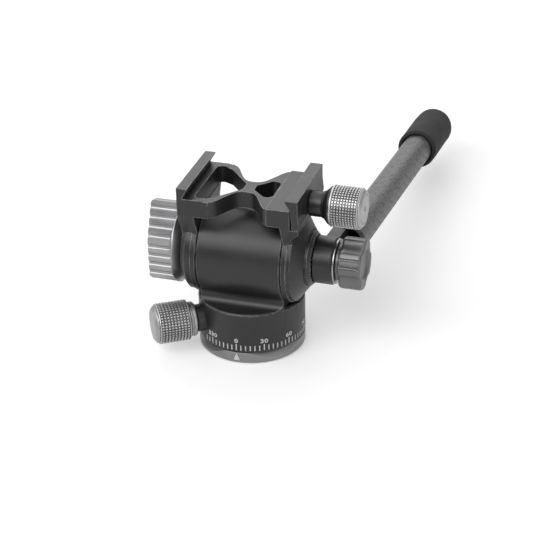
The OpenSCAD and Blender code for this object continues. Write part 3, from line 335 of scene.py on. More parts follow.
def soften(profile, radius, closed=True):
    """Replaces each corner by a quadratic curve: start and end lie radius before and after the corner, or
    40% of the way to the next corner where that is less, and a support point sits just outside each."""
    p = np.array(profile, float)
    inward, outward = p - np.roll(p, 1, 0), np.roll(p, -1, 0) - p
    len_in, len_out = np.linalg.norm(inward, axis=1), np.linalg.norm(outward, axis=1)
    reach = np.minimum(radius, 0.4 * np.minimum(len_in, len_out))[:, None]
    start, end = p - inward / len_in[:, None] * reach, p + outward / len_out[:, None] * reach
    s = np.linspace(0, 1, 5)[None, :, None]
    curve = (1 - s) ** 2 * start[:, None] + 2 * s * (1 - s) * p[:, None] + s ** 2 * end[:, None]
    before = (p - inward / len_in[:, None] * reach * 1.12)[:, None]
    after = (p + outward / len_out[:, None] * reach * 1.12)[:, None]
    soft = np.concatenate([before, curve, after], axis=1)
    if closed:
        return soft.reshape(-1, 2)
    return np.concatenate([p[:1], soft[1:-1].reshape(-1, 2), p[-1:]])


# %% Meshes from points
def skin(name, points, material, round_u=False, round_v=True, sharp=40.0):
    """A mesh from a grid of points. Face (i, j) joins (i, j), (i+1, j), (i+1, j+1), (i, j+1); a round
    direction joins its last row to its first. Points that coincide at a pole are welded."""
    m, n = points.shape[:2]
    i, j = np.meshgrid(np.arange(m - (not round_u)), np.arange(n - (not round_v)), indexing="ij")
    i2, j2 = (i + 1) % m, (j + 1) % n
    quads = np.stack([i * n + j, i2 * n + j, i2 * n + j2, i * n + j2], axis=-1).reshape(-1, 4)
    mesh = bpy.data.meshes.new(name)
    mesh.vertices.add(m * n)
    mesh.vertices.foreach_set("co", points.reshape(-1).astype(np.float32))
    mesh.loops.add(quads.size)
    mesh.loops.foreach_set("vertex_index", quads.reshape(-1).astype(np.int32))
    mesh.polygons.add(len(quads))
    mesh.polygons.foreach_set("loop_start", np.arange(0, quads.size, 4, dtype=np.int32))
    mesh.update(calc_edges=True)
    return dressed(name, mesh, material, sharp)


def dressed(name, mesh, material, sharp=40.0, weld=2e-6):
    """Welds a mesh, shades it smooth up to an angle, gives it a material and puts it into the scene."""
    work = bmesh.new()
    work.from_mesh(mesh)
    bmesh.ops.remove_doubles(work, verts=work.verts, dist=weld)
    work.to_mesh(mesh)
    work.free()
    mesh.polygons.foreach_set("use_smooth", np.ones(len(mesh.polygons), bool))
    mesh.set_sharp_from_angle(angle=math.radians(sharp))
    mesh.materials.append(material)
    mesh.update()
    piece = bpy.data.objects.new(name, mesh)
    bpy.context.scene.collection.objects.link(piece)
    return piece


# %% Turned pieces and the axes of the head
ROUND = np.linspace(0, 2 * np.pi, 128, endpoint=False)


def turned(name, axis, profile, material, radius, solid=False):
    """A turned piece: profile points (distance, radius) carried round the axis. A ring's profile runs
    inner-low, outer-low, outer-high, inner-high; a solid's starts and ends on the axis."""
    p = soften(profile, radius, closed=not solid)
    points = on_line(axis, p[:, 0, None], p[:, 1, None], ROUND)
    return skin(name, points, material, round_u=not solid)


def stand_for(piece, body, node):
    """The piece moves with a body and replaces the node it stands for."""
    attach(piece, body)
    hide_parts(node)
    print(piece.name, len(piece.data.polygons), "faces on", body)
    return piece


tilt_line = line((0, 0, tilt_height), (1, 0, 0), (0, 0, 1))
clamp_line = line((0, 0, clamp_height), (1, 0, 0), (0, 0, 1))
lock_way = (math.cos(math.radians(LOCK_ANGLE)), math.sin(math.radians(LOCK_ANGLE)), 0)
lock_line = line((0, 0, lock_height), lock_way, (0, 0, 1))
print("pan lock points along", [round(v, 3) for v in lock_way])

# %% [markdown]
# ## Softened copies of the milled pieces
# The base plate, housing, yoke, jaw and bracket are milled, and their solids already have the right
# shape. A copy of the solid's mesh is welded, its coplanar triangles are joined, and a Bevel modifier
# rounds the edges that a deburring tool would reach. Only edges with a weight are rounded, so the small
# teeth and inner bores stay as they are.

# %% Softened copies
def softened(node, material, width, reached, angle=28.0):
    """A welded copy of a node. Edges whose faces turn by more than angle degrees are rounded by width mm
    times reached(x, y, z), a share between 0 and 1 worked out from their midpoints in mm."""
    work = bmesh.new()
    work.from_mesh(frame["nodes"][node].data)
    bmesh.ops.remove_doubles(work, verts=work.verts, dist=1e-6)
    bmesh.ops.dissolve_limit(work, angle_limit=math.radians(0.6), verts=work.verts, edges=work.edges)
    work.edges.ensure_lookup_table()
    mids = np.array([(e.verts[0].co + e.verts[1].co) / 2 for e in work.edges]) / MM
    folds = np.degrees([e.calc_face_angle(0.0) for e in work.edges])
    share = (folds > angle) * reached(*mids.T).astype(np.float32)
    mesh = bpy.data.meshes.new(node + "_softened")
    work.to_mesh(mesh)
    work.free()
    weight = mesh.attributes.new("bevel_weight_edge", "FLOAT", "EDGE")
    weight.data.foreach_set("value", share)
    piece = dressed(node + "_softened", mesh, material, sharp=30.0, weld=1e-7)
    rounding = piece.modifiers.new("rounded_edges", "BEVEL")
    rounding.limit_method, rounding.width, rounding.segments = "WEIGHT", width * MM, 3
    rounding.harden_normals = True
    print(node, int((share > 0).sum()), "edges rounded by", width, "mm")
    return piece


base = softened("base_plate", titanium, 0.16, lambda x, y, z: np.hypot(x, y) > 14)
stand_for(base, "base", "base_plate")
housing = softened("body_housing", charcoal, 0.16,
                   lambda x, y, z: (np.hypot(x, y) > 14.5) | (np.hypot(y, z - tilt_height) > 15))
stand_for(housing, "body", "body_housing")
yoke = softened("yoke", charcoal, 0.26, lambda x, y, z: (np.abs(x) > 16.5) | (z > 50))
stand_for(yoke, "yoke", "yoke")
jaw = softened("clamp_jaw", charcoal, 0.2, lambda x, y, z: (z > 60) | (np.abs(y) > 15.5))
stand_for(jaw, "jaw", "clamp_jaw")
bracket = softened("handle_bracket", black, 0.25, lambda x, y, z: (x > 24.8) & (y < 20.3))
stand_for(bracket, "handle", "handle_bracket")

# %% [markdown]
# ## The two knurled knobs
# The pan lock and the clamp knob carry a knurl of small square pins, cut by grooves round the knob and
# along it. A single array can hold that: the height is the product of a wave along the knob and a wave
# round it, each flat at the bottom, flat at the top and sloped between. Four samples to a pin keep the
# mesh light.

# %% Knurled grips
def knurled(name, axis, start, end, r, rows, count, depth, material, rim_in, rim_out, bevel, bore):
    """A knurled grip from start to end along the axis. Radius = r - depth * (1 - row * column), where row
    and column go 0, 0, 1, 1 over each pin; plain rims and a bevel close the ends, and a bore the middle."""
    cell, high = np.array([0.0, 0.22, 0.36, 0.86]), np.array([0.0, 0.0, 1.0, 1.0])
    pins_in, pins_out, nick = start + rim_in, end - rim_out, 0.3 * bevel
    a = (pins_in + (np.arange(rows)[:, None] + cell) * (pins_out - pins_in) / rows).reshape(-1)
    t = ((np.arange(count)[:, None] + cell) * 2 * np.pi / count).reshape(-1)
    row, column = np.tile(high, rows), np.tile(high, count)
    body = r - depth * (1 - row[:, None] * column[None, :])
    first = np.array([(start, bore), (start, r - bevel), (start + nick, r - nick), (start + bevel, r),
                      (pins_in - 0.2, r), (pins_in - 0.08, r - 0.1), (pins_in - 0.02, r - depth)])
    last = np.array([(pins_out, r - depth), (pins_out + 0.06, r - 0.1), (pins_out + 0.15, r),
                     (end - bevel, r), (end - nick, r - nick), (end, r - bevel), (end, bore)])
    along = np.concatenate([first[:, 0], a, last[:, 0]])
    radii = np.concatenate([np.repeat(first[:, 1:], len(t), 1), body, np.repeat(last[:, 1:], len(t), 1)])
    points = on_line(axis, along[:, None], radii, t[None, :])
    return skin(name, points, material, round_u=True, sharp=30.0)


GRIP = {"r": 7.3, "rows": 9, "count": 46, "depth": 0.6, "bevel": 0.3}
# Outer and inner radius of the painted shade in the knurls' grooves.
PIN_SHADE_RADII = (6.75, 7.2)
LOCK_BORE, LOCK_GRIP, LOCK_CAP = 2.6, 23.9, 35.1
CLAMP_BORE, CLAMP_GRIP, CLAMP_CAP = 2.05, 29.95, 40.15
lock_metal = turned_metal("gunmetal_turned", (0.32, 0.32, 0.325), 0.42, (0, 0, lock_height), LOCK_ANGLE,
                          metal=0.9)
clamp_metal = turned_metal("silver_turned", (0.36, 0.36, 0.365), 0.42, (0, 0, clamp_height))
lock_pins = turned_metal("gunmetal_pins", (0.48, 0.48, 0.485), 0.42, (0, 0, lock_height), LOCK_ANGLE,
                         metal=0.9, grooves=PIN_SHADE_RADII)
clamp_pins = turned_metal("silver_pins", (0.52, 0.52, 0.525), 0.42, (0, 0, clamp_height), grooves=PIN_SHADE_RADII)
lock_grip = knurled("pan_lock_grip_knurl", lock_line, LOCK_GRIP, LOCK_CAP, material=lock_pins,
                    rim_in=0.5, rim_out=0.5, bore=LOCK_BORE, **GRIP)
stand_for(lock_grip, "pan_lock_knob", "pan_lock_grip")
clamp_grip = knurled("clamp_grip_knurl", clamp_line, CLAMP_GRIP, CLAMP_CAP, material=clamp_pins,
                     rim_in=0.75, rim_out=0.45, bore=CLAMP_BORE, **GRIP)
stand_for(clamp_grip, "clamp_knob", "clamp_knob_grip")

# %% [markdown]
# ## Collars, sleeve, cone and caps of these knobs
# These are plain turned pieces, and their charm is in the edges: a stepped collar behind the pan lock's
# grip, a black cone in front of the clamp's, a slightly domed cap on one and a chamfered one on the
# other. The clamp's cap has a ring groove and a short slot for a screwdriver, and the slot is lofted:
# a circle of points shrinks to the slot's rectangle from one row to the next.

# %% Turned pieces of the pan lock
LOCK_COLLAR = 21.2
ferrule = turned("pan_lock_ferrule_turned", lock_line,
                 [(17.0, LOCK_BORE), (17.0, 4.9), (20.9, 4.9), (20.9, LOCK_BORE)], black, 0.3)
stand_for(ferrule, "body", "pan_lock_ferrule")
collar = turned("pan_lock_collar_turned", lock_line,
                [(LOCK_COLLAR, LOCK_BORE), (LOCK_COLLAR, 5.6), (21.7, 6.2), (22.5, 6.2), (22.62, 5.95),
                 (22.82, 5.95), (22.94, 6.2), (23.45, 6.2), (LOCK_GRIP, 5.7), (LOCK_GRIP, LOCK_BORE)],
                lock_metal, 0.16)
stand_for(collar, "pan_lock_knob", "pan_lock_collar")
DOME_R, DOME_FOOT, DOME_RISE = 5.6, 36.55, 0.15
dome_r = np.linspace(DOME_R, 0.0, 12)
dome = np.stack([DOME_FOOT + DOME_RISE * np.cos(dome_r / DOME_R * np.pi / 2), dome_r], axis=1)
lock_cap = turned("pan_lock_cap_turned", lock_line,
                  [(LOCK_CAP, 0), (LOCK_CAP, 6.75), (35.7, 6.62), *dome.tolist()],
                  lock_metal, 0.55, solid=True)
stand_for(lock_cap, "pan_lock_knob", "pan_lock_cap")

# %% Turned pieces of the clamp knob
CLAMP_SLEEVE, CLAMP_CONE = 22.35, 26.75
sleeve_metal = turned_metal("gunmetal_sleeve", (0.05, 0.05, 0.051), 0.38, (0, 0, clamp_height), metal=0.9)
sleeve = turned("clamp_sleeve_turned", clamp_line,
                [(CLAMP_SLEEVE, CLAMP_BORE), (CLAMP_SLEEVE, 4.5), (CLAMP_CONE, 4.5),
                 (CLAMP_CONE, CLAMP_BORE)], sleeve_metal, 0.18)
stand_for(sleeve, "clamp_knob", "clamp_knob_sleeve")
cone = turned("clamp_cone_turned", clamp_line,
              [(CLAMP_CONE, CLAMP_BORE), (CLAMP_CONE, 4.75), (27.5, 4.95), (29.2, 6.75), (CLAMP_GRIP, 6.8),
               (CLAMP_GRIP, CLAMP_BORE)], black, 0.2)
stand_for(cone, "clamp_knob", "clamp_knob_collar")

# %% Slotted cap of the clamp knob
def slotted_cap(name, axis, start, end, r, groove_r, slot, depth, material):
    """A chamfered cap. Rows of points run from the back's middle round the rim and the chamfer to the ring
    groove, then the circle shrinks to the slot's rectangle, whose radius at angle t is
    min(half width / |cos t|, half length / |sin t|), and drops to the slot's floor."""
    t = ROUND + np.pi / len(ROUND)
    groove = [(end, groove_r + 0.3), (end - 0.3, groove_r + 0.18),
              (end - 0.3, groove_r - 0.18), (end, groove_r - 0.3)]
    rim = soften([(start, 0), (start, r), (start + 0.35, r), (end, r - 0.75), *groove,
                  (end, 1.7), (end, 1.4)], 0.09, closed=False)
    box_r = np.minimum(slot[0] / 2 / np.abs(np.cos(t)), slot[1] / 2 / np.abs(np.sin(t)))
    rows = np.concatenate([np.repeat(rim[:, 1:], len(t), 1), [box_r * 1.08, box_r, box_r, box_r * 0.0]])
    along = np.concatenate([rim[:, 0], [end, end - 0.03, end - depth, end - depth]])
    return skin(name, on_line(axis, along[:, None], rows, t[None, :]), material, sharp=35.0)


clamp_cap = slotted_cap("clamp_cap_turned", clamp_line, CLAMP_CAP, end=41.25, r=6.8, groove_r=5.1,
                        slot=(1.1, 1.6), depth=0.6, material=clamp_metal)
stand_for(clamp_cap, "clamp_knob", "clamp_knob_cap")

# %% [markdown]
# ## The tilt knob with its wing
# The knob on the left is a round disc with a smooth cone towards the arm, and a wing stands on it to be
# held between finger and thumb. Four flutes lie on each half of the wing's faces, with a plain land
# between. It is milled from the solid, so the solid's mesh is softened like the other milled pieces:
# more at the wing's outer end, where the hand closes round it, and only a little along the flutes.

# %% Tilt knob
tilt_metal = turned_metal("titanium_milled", (0.33, 0.33, 0.335), 0.34, (0, 0, tilt_height), metal=0.9)
WING_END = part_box("tilt_lock_knob")[0].x / MM
WING_FOOT, FLUTE_SHARE = -21.7, 0.3


def wing_edges(x, y, z):
    """Full rounding at the wing's end, a share of it along the flutes and none near the arm."""
    return np.where(x < WING_END + 0.1, 1.0, np.where(x < WING_FOOT, FLUTE_SHARE, 0.0))


tilt_knob = softened("tilt_lock_knob", tilt_metal, 0.45, wing_edges, angle=20.0)
stand_for(tilt_knob, "tilt_lock_knob", "tilt_lock_knob")

# %% [markdown]
# ## The lobed handle knob
# The knob at the right end of the tilt axis has four lobes with hollow flanks and two fine grooves on
# each lobe for the fingers. Seen along the axis its outline is a circle cut by four round cutters, and
# one formula gives the radius that a round cutter leaves at each angle; it serves for the fine grooves
# too. The rows of points then shrink inwards over the rounded edges and step down into the dished end.

# %% Lobed knob
def cut_circle(t, middles, away, cutter_r, plain):
    """Outline left by round cutters at distance away: the least of plain and
    away cos d - sqrt(cutter^2 - away^2 sin^2 d), with d the angle from the nearest cutter."""
    d = np.abs((t[:, None] - middles + np.pi) % (2 * np.pi) - np.pi).min(1)
    inside = cutter_r ** 2 - (away * np.sin(d)) ** 2
    left = away * np.cos(d) - np.sqrt(np.maximum(inside, 0))
    return np.where(inside > 0, np.minimum(left, plain), plain)


def lobed(name, axis, neck, start, end, r, scallop, groove, first, dish, bore, material):
    """A lobed knob. Rows over its sides are (distance, how far inside the outline), and the fine grooves fade
    out near both ends. The dish goes down over the outer quarter of its radius, and the stud's bore is blind.
    Pairs: neck (distance, radius), scallop (cutter's radius, depth), groove (radius, degrees off a lobe's
    middle), dish (radius, depth), bore (radius, end)."""
    lobes = first + np.arange(4) * 90
    fine = np.radians(np.concatenate([lobes - groove[1], lobes + groove[1]]))
    close = (fine[:, None] + np.radians(np.linspace(-4.2, 4.2, 13))).reshape(-1)
    t = np.unique(np.round(np.concatenate([np.radians(np.arange(0, 360, 2.0)), close % (2 * np.pi)]), 6))
    outline = cut_circle(t, np.radians(lobes) + np.pi / 4, r + scallop[0] - scallop[1], scallop[0], r)
    joined = np.concatenate([outline[-3:], outline, outline[:3]])
    outline = np.convolve(joined, [0.1, 0.2, 0.4, 0.2, 0.1], "same")[3:-3]
    grooved = np.minimum(outline, cut_circle(t, fine, r, groove[0], r))
    s = np.linspace(0, 1, 6) * np.pi / 2
    edge_r = 1.0
    low = np.stack([start + edge_r * (1 - np.sin(s)), edge_r * (1 - np.cos(s))], 1)[::-1]
    high = np.stack([end - edge_r * (1 - np.sin(s)), edge_r * (1 - np.cos(s))], 1)
    sides = np.concatenate([low, [(start + 1.6, 0), (end - 1.6, 0)], high])
    inside = np.minimum(sides[:, 0] - start - 0.5, end - 0.5 - sides[:, 0])
    groove_share = np.clip(inside / 0.6, 0, 1)[:, None]
    body = outline * (1 - groove_share) + grooved * groove_share - sides[:, 1:]
    flat = outline - edge_r
    inward = np.array([1, 0.97, 0.93, 0.88, 0.83, 0.78, 0.75, 0.7, 0.35, 0])
    round_rows = np.array([(bore[1], 0.0), (bore[1], bore[0]), (neck[0], bore[0]), (neck[0], neck[1] - 0.15),
                           (neck[0] + 0.15, neck[1]), (start - 0.2, neck[1]), (start, neck[1] + 0.2)])
    rows = np.concatenate([np.repeat(round_rows[:, 1:], len(t), 1), flat[None] * 0.5 + neck[1] * 0.5, body,
                           flat[None] * 0.4 + dish[0] * 0.6, np.full((1, len(t)), dish[0] + 0.25),
                           np.repeat(dish[0] * inward[:, None], len(t), 1)])
    along = np.concatenate([round_rows[:, 0], [start], sides[:, 0], [end, end],
                            end - dish[1] * np.clip((1 - inward) / 0.25, 0, 1) ** 1.5])
    return skin(name, on_line(axis, along[:, None], rows, t[None, :]), material, sharp=38.0)


# %% Handle knob and its washer
knob_metal = turned_metal("gunmetal_knob", (0.16, 0.16, 0.163), 0.46, (0, 0, tilt_height), metal=0.85,
                          strength=0.06)
LOBE_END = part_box("handle_knob")[1].x / MM
STUD_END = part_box("handle_stud")[1].x / MM
star = lobed("handle_knob_lobed", tilt_line, neck=(32.2, 6.6), start=33.5, end=LOBE_END, r=9.1,
             scallop=(5.0, 1.6), groove=(0.55, 9.0), first=24.0, dish=(6.2, 0.9), bore=(3.02, STUD_END),
             material=knob_metal)
stand_for(star, "handle_knob", "handle_knob")
bright = turned_metal("bright_steel", (0.34, 0.34, 0.35), 0.28, (0, 0, tilt_height))
washer = turned("handle_washer_turned", tilt_line, [(31.5, 3.3), (31.5, 8.0), (32.1, 8.0), (32.1, 3.3)],
                bright, 0.18)
stand_for(washer, "handle_washer", "handle_washer")

# %% [markdown]
# ## Carbon tube
# The handle is a carbon tube. Its cloth shows as short dark dashes on grey, in rows along the tube. The
# weave runs round and along the tube, so the material turns the coordinates until the tube lies on X;
# then the angle times the radius and the place along X are a flat sheet of cloth. Each thread is a cell
# of that sheet, and a twill step decides which thread lies on top.

# %% Group: carbon weave
weave_group, gives, takes = new_group("carbon_weave", {"Radius": 0.006, "Thread": 1.1},
                                      ["Over", "Height", "Speck"])
parts = add(weave_group, "ShaderNodeSeparateXYZ", {0: gives["Vector"]}).outputs
around = sums(weave_group, "MULTIPLY", sums(weave_group, "ARCTAN2", parts["Y"], parts["Z"]), gives["Radius"])
per_metre = sums(weave_group, "DIVIDE", 1000.0, gives["Thread"])
u = sums(weave_group, "MULTIPLY", around, per_metre)
v = sums(weave_group, "MULTIPLY", parts["X"], sums(weave_group, "MULTIPLY", per_metre, 0.62))
step = sums(weave_group, "SUBTRACT", sums(weave_group, "FLOOR", u), sums(weave_group, "FLOOR", v))
over = sums(weave_group, "LESS_THAN", sums(weave_group, "FLOORED_MODULO", step, 4.0), 2.0)
hump_u = sums(weave_group, "PINGPONG", u, 0.5)
hump_v = sums(weave_group, "PINGPONG", v, 0.5)
lie = sums(weave_group, "MULTIPLY", hump_u, hump_v)
sheet = add(weave_group, "ShaderNodeCombineXYZ", {"X": u, "Y": sums(weave_group, "MULTIPLY", v, 0.55)})
spots = ramp(weave_group, noise(weave_group, sheet.outputs[0], 1.15, 2.0), 0.50, 0.68)
weave_group.links.new(over, takes["Over"])
weave_group.links.new(lie, takes["Height"])
weave_group.links.new(spots, takes["Speck"])
print("group", weave_group.name)

# %% Tube finish
HANDLE_X, HANDLE_SLOPE, TUBE_R = 30.45, math.radians(6.6), 5.95
carbon, tree, shader, coords = new_finish("carbon_fibre_cloth")
flat_tube = add(tree, "ShaderNodeMapping",
                {"Vector": coords, "Location": (HANDLE_X * MM, 0.0, tilt_height * MM),
                 "Rotation": (-HANDLE_SLOPE, 0, 0)}, vector_type="TEXTURE")
turned_tube = add(tree, "ShaderNodeSeparateXYZ", {0: flat_tube.outputs[0]}).outputs
laid = add(tree, "ShaderNodeCombineXYZ",
           {"X": turned_tube["Y"], "Y": turned_tube["X"], "Z": turned_tube["Z"]})
weave = place_group(tree, weave_group, {"Vector": laid.outputs[0], "Radius": TUBE_R * MM})
lit = sums(tree, "MULTIPLY_ADD", weave.outputs["Over"], 0.16, 0.92)
dark = sums(tree, "MULTIPLY_ADD", weave.outputs["Speck"], -0.62, 1.0)
shade = sums(tree, "MULTIPLY", sums(tree, "MULTIPLY", lit, dark),
             sums(tree, "MULTIPLY_ADD", weave.outputs["Height"], 0.5, 0.9))
coat(tree, shader, tinted(tree, (0.135, 0.135, 0.137), shade),
     sums(tree, "MULTIPLY_ADD", weave.outputs["Over"], 0.10, 0.40), weave.outputs["Height"], 0.2, depth=0.05)
print("finish", carbon.name)

# %% [markdown]
# ## Foam grip
# The grip is a closed-cell foam sleeve pushed over the end of the tube. Foam never has a hard edge: the
# front ring is soft, a dark gap shows round the tube, the sleeve swells a little between, and the end is
# round. It is one profile about the tube, with slow waves of a few hundredths of a millimetre added to
# the radius, and its skin is a mix of fine pores and wide soft dents.

# %% Foam sleeve
def foam_sleeve(name, axis, start, end, r, bore, bore_end, material):
    """Foam about the tube: bore, soft front lip with a gap, body, round end. Radius gets
    0.05 sin(3t + a / 4) + 0.04 sin(5t - a / 2.3) mm of unevenness."""
    s = np.linspace(0, np.pi / 2, 24)
    front = [(bore_end, 0.0), (bore_end, bore - 0.6), (bore_end - 0.6, bore), (start + 1.6, bore),
             (start + 1.1, bore + 0.35), (start + 0.25, bore + 0.42), (start, bore + 0.72),
             (start, r - 0.95), (start + 0.28, r - 0.28), (start + 0.95, r)]
    places = np.linspace(start + 2, end - r, 40)
    body = [(a, r + 0.06 * math.sin((a - start) / (end - start) * math.pi)) for a in places]
    tip = np.stack([end - r + r * np.sin(s), r * np.cos(s)], 1)[1:].tolist()
    p = np.array(front + body + tip)
    a, radius = p[:, 0, None], p[:, 1, None]
    share = np.clip((radius - bore - 0.8) / 1.0, 0, 1)
    uneven = 0.05 * np.sin(3 * ROUND + a / 4) + 0.04 * np.sin(5 * ROUND - a / 2.3)
    return skin(name, on_line(axis, a, radius + share * uneven, ROUND), material, sharp=60.0)


# %% Foam skin and the grip
foam, tree, shader, coords = new_finish("foam_skin")
pores = add(tree, "ShaderNodeTexVoronoi", {"Vector": coords, "Scale": 2600.0, "Randomness": 1.0})
pits = ramp(tree, pores.outputs["Distance"], 0.1, 0.5)
grains = place_group(tree, grain_group, {"Vector": coords, "Grain": 0.35, "Cloud": 5.0})
shade = sums(tree, "MULTIPLY", grains.outputs["Tint"], sums(tree, "MULTIPLY_ADD", pits, 0.22, 0.86))
coat(tree, shader, tinted(tree, (0.012, 0.012, 0.0123), shade),
     sums(tree, "ADD", grains.outputs["Rough"], 0.82),
     sums(tree, "ADD", pits, grains.outputs["Height"]), 0.45, depth=0.08)
fall, run = math.sin(HANDLE_SLOPE), math.cos(HANDLE_SLOPE)
handle_line = line((HANDLE_X, 0, tilt_height), (0, run, -fall), (0, fall, run))
grip = foam_sleeve("handle_grip_foam", handle_line, start=129.8, end=169.5, r=7.9, bore=5.97,
                   bore_end=160.72, material=foam)
stand_for(grip, "handle", "handle_grip")

# %% [markdown]
# ## Graduations of the barrel
# The barrel carries a ring of ticks every five degrees, a longer one every thirty with its number, and
# the base plate carries the pointer. On the real head they are printed or engraved and filled with pale
# paint. Flat shapes are laid out as on paper, in millimetres along the rim and up, and then wrapped
# round the barrel by one formula; Solidify gives the paint its thickness.

# %% Wrapping round the barrel
BARREL_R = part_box("body_housing")[1].x / MM
PAINT_LIFT, PAINT_FILM = 0.06, 0.08
paint, tree, shader, coords = new_finish("pale_paint")
grains = place_group(tree, grain_group, {"Vector": coords, "Grain": 0.15, "Cloud": 3.0})
coat(tree, shader, tinted(tree, (0.80, 0.80, 0.80), grains.outputs["Tint"]),
     sums(tree, "ADD", grains.outputs["Rough"], 0.55))
print("barrel radius", round(BARREL_R, 2), "mm, finish", paint.name)


def wrapped(x, z):
    """Points x mm along the rim from the front and z mm up: the angle is x / radius from the front."""
    t = -np.pi / 2 + x / BARREL_R
    r = BARREL_R + PAINT_LIFT
    return np.stack([r * np.cos(t), r * np.sin(t), np.broadcast_to(z, t.shape)], axis=-1) * MM


def painted(name, points, faces, body):
    """Paint marks from flat points (x, z) in mm, wrapped and given the thickness of the film."""
    mesh = bpy.data.meshes.new(name)
    flat = np.array(points, float)
    mesh.from_pydata(wrapped(flat[:, 0], flat[:, 1]).tolist(), [], faces)
    piece = dressed(name, mesh, paint)
    mesh.shade_flat()
    film = piece.modifiers.new("film", "SOLIDIFY")
    film.thickness, film.offset = PAINT_FILM * MM, -1.0
    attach(piece, body)
    print(name, len(faces), "marks on", body)
    return piece


# %% Ticks
TICK_HALF, TICK_FOOT, TICK_TOP, LONG_TOP = 0.19, 5.2, 7.2, 7.7
TICK_MIDDLE, FERRULE_ROOM = 7.4, 5.6


def clear_of_lock(degrees, mark_height):
    """True for marks whose middle is farther from the pan lock's axis than its ferrule needs."""
    apart = np.radians((np.asarray(degrees) - 90 - LOCK_ANGLE + 180) % 360 - 180) * BARREL_R
    return np.hypot(apart, lock_height - mark_height) > FERRULE_ROOM


degrees = np.arange(0, 360, 5)
long_ones = degrees % 30 == 0
degrees_kept = clear_of_lock(degrees, TICK_MIDDLE)
middle_x = np.radians(degrees) * BARREL_R
corners_x = middle_x[:, None] + np.array([-TICK_HALF, TICK_HALF, TICK_HALF, -TICK_HALF])
tops = np.where(long_ones, LONG_TOP, TICK_TOP)
feet = np.full(len(degrees), TICK_FOOT)
corners_z = np.stack([feet, feet, tops, tops], axis=1)
flat_ticks = np.stack([corners_x, corners_z], axis=-1)[degrees_kept].reshape(-1, 2)
painted("pan_scale_ticks", flat_ticks, np.arange(len(flat_ticks)).reshape(-1, 4).tolist(), "body")

# %% Numbers
NUMBER_SIZE, NUMBER_STRETCH, NUMBER_FOOT, NUMBER_MIDDLE = 2.15, 1.3, 8.25, 9.0


def number_marks(value):
    """A number's outline as flat points and faces, centred on its angle and a little stretched."""
    words = bpy.data.curves.new("number", "FONT")
    words.body, words.size, words.align_x, words.offset = str(value), NUMBER_SIZE, "CENTER", 0.05
    words.resolution_u, words.space_character = 3, 1.08
    shape = bpy.data.objects.new("number", words)
    bpy.context.scene.collection.objects.link(shape)
    bpy.context.view_layer.update()
    mesh = bpy.data.meshes.new_from_object(shape)
    flat = np.zeros(len(mesh.vertices) * 3)
    mesh.vertices.foreach_get("co", flat)
    flat = flat.reshape(-1, 3)[:, :2] * (NUMBER_STRETCH, 1.0) + (math.radians(value) * BARREL_R, NUMBER_FOOT)
    faces = [tuple(face.vertices) for face in mesh.polygons]
    bpy.data.objects.remove(shape)
    bpy.data.meshes.remove(mesh)
    bpy.data.curves.remove(words)
    return flat, faces


numbers = [n for n in range(0, 360, 30) if clear_of_lock(n, NUMBER_MIDDLE)]
marks, mark_faces, count = [], [], 0
for number in numbers:
    flat, faces = number_marks(number)
    mark_faces += [tuple(int(k) + count for k in face) for face in faces]
    marks.append(flat)
    count += len(flat)
painted("pan_scale_numbers", np.concatenate(marks), mark_faces, "body")

# %% Pointer
POINTER_HALF, POINTER_TIP, POINTER_TALL, ACROSS = 1.15, 4.05, 2.85, 9
foot = np.linspace(-POINTER_HALF, POINTER_HALF, ACROSS)
fan = [(x * k, POINTER_TIP - POINTER_TALL * k) for k in (0.06, 0.35, 0.7, 1.0) for x in foot]
corners = [k * ACROSS + i for k in range(3) for i in range(ACROSS - 1)]
painted("base_pointer", fan, [(n, n + ACROSS, n + ACROSS + 1, n + 1) for n in corners], "base")

# %% [markdown]
# ## Tripod thread
# The steel bush below the base plate takes the tripod's screw. From below one sees the thread, so the
# bush is rebuilt with a real helix: the radius of its bore depends on the height minus the turn, as a
# triangle wave with flat tips. One grid carries the bore, and the outside follows the solid.

# %% Threaded bush
upright_line = line((0, 0, 0), (0, 0, 1), (-1, 0, 0))


def threaded(name, top, crest, root, pitch, outer, material):
    """A bush with an inner thread: bore radius = crest + (root - crest) * tooth(z / pitch - t / 2 pi), with a
    triangle wave clipped at both ends; the wave fades out at the ends of the bore."""
    steep, flat_tip, fade_out = 2.6, 0.65, 0.25
    t = np.linspace(0, 2 * np.pi, 72, endpoint=False)
    z = np.linspace(0.0, top, 110)[::-1]
    phase = (z[:, None] / pitch - t[None, :] / (2 * np.pi)) % 1.0
    tooth = np.clip((0.5 - np.abs(phase - 0.5)) * steep - flat_tip, 0, 1)
    fade = np.clip(np.minimum(z, top - z) / fade_out, 0, 1)[:, None]
    bore = crest + (root - crest) * tooth * fade
    rim = np.array(outer, float)
    rows = np.concatenate([np.repeat(rim[:, 1:], len(t), 1), bore])
    along = np.concatenate([rim[:, 0], z])
    points = on_line(upright_line, along[:, None], rows, t[None, :])
    return skin(name, points, material, round_u=True, sharp=30.0)


steel = turned_metal("plain_steel", (0.50, 0.50, 0.51), 0.30)
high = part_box("thread_bush")[1] / MM
BUSH_R, FLANGE_LOW, FLANGE_HIGH = 5.97, 4.2, 6.0
bush_outer = [(0.0, BUSH_R), (FLANGE_LOW, BUSH_R), (FLANGE_LOW, high.x), (FLANGE_HIGH, high.x),
              (FLANGE_HIGH, BUSH_R), (high.z, BUSH_R)]
THREAD_CREST, THREAD_ROOT, THREAD_PITCH = 3.97, 4.72, 25.4 / 16
bush = threaded("tripod_thread", high.z, THREAD_CREST, THREAD_ROOT, THREAD_PITCH, bush_outer, steel)
stand_for(bush, "base", "thread_bush")

# %% [markdown]
# ## Finishes of the inner pieces
# The screws, bushes, washers and discs show only when the head comes apart or in a slit, but each gets its
# own finish: turned steel, bronze for the bushes, the brake shoe and the nut, pale polymer for the washers
# and friction discs, moulded black plastic for the plug in the tube. The tube itself takes its cloth here.

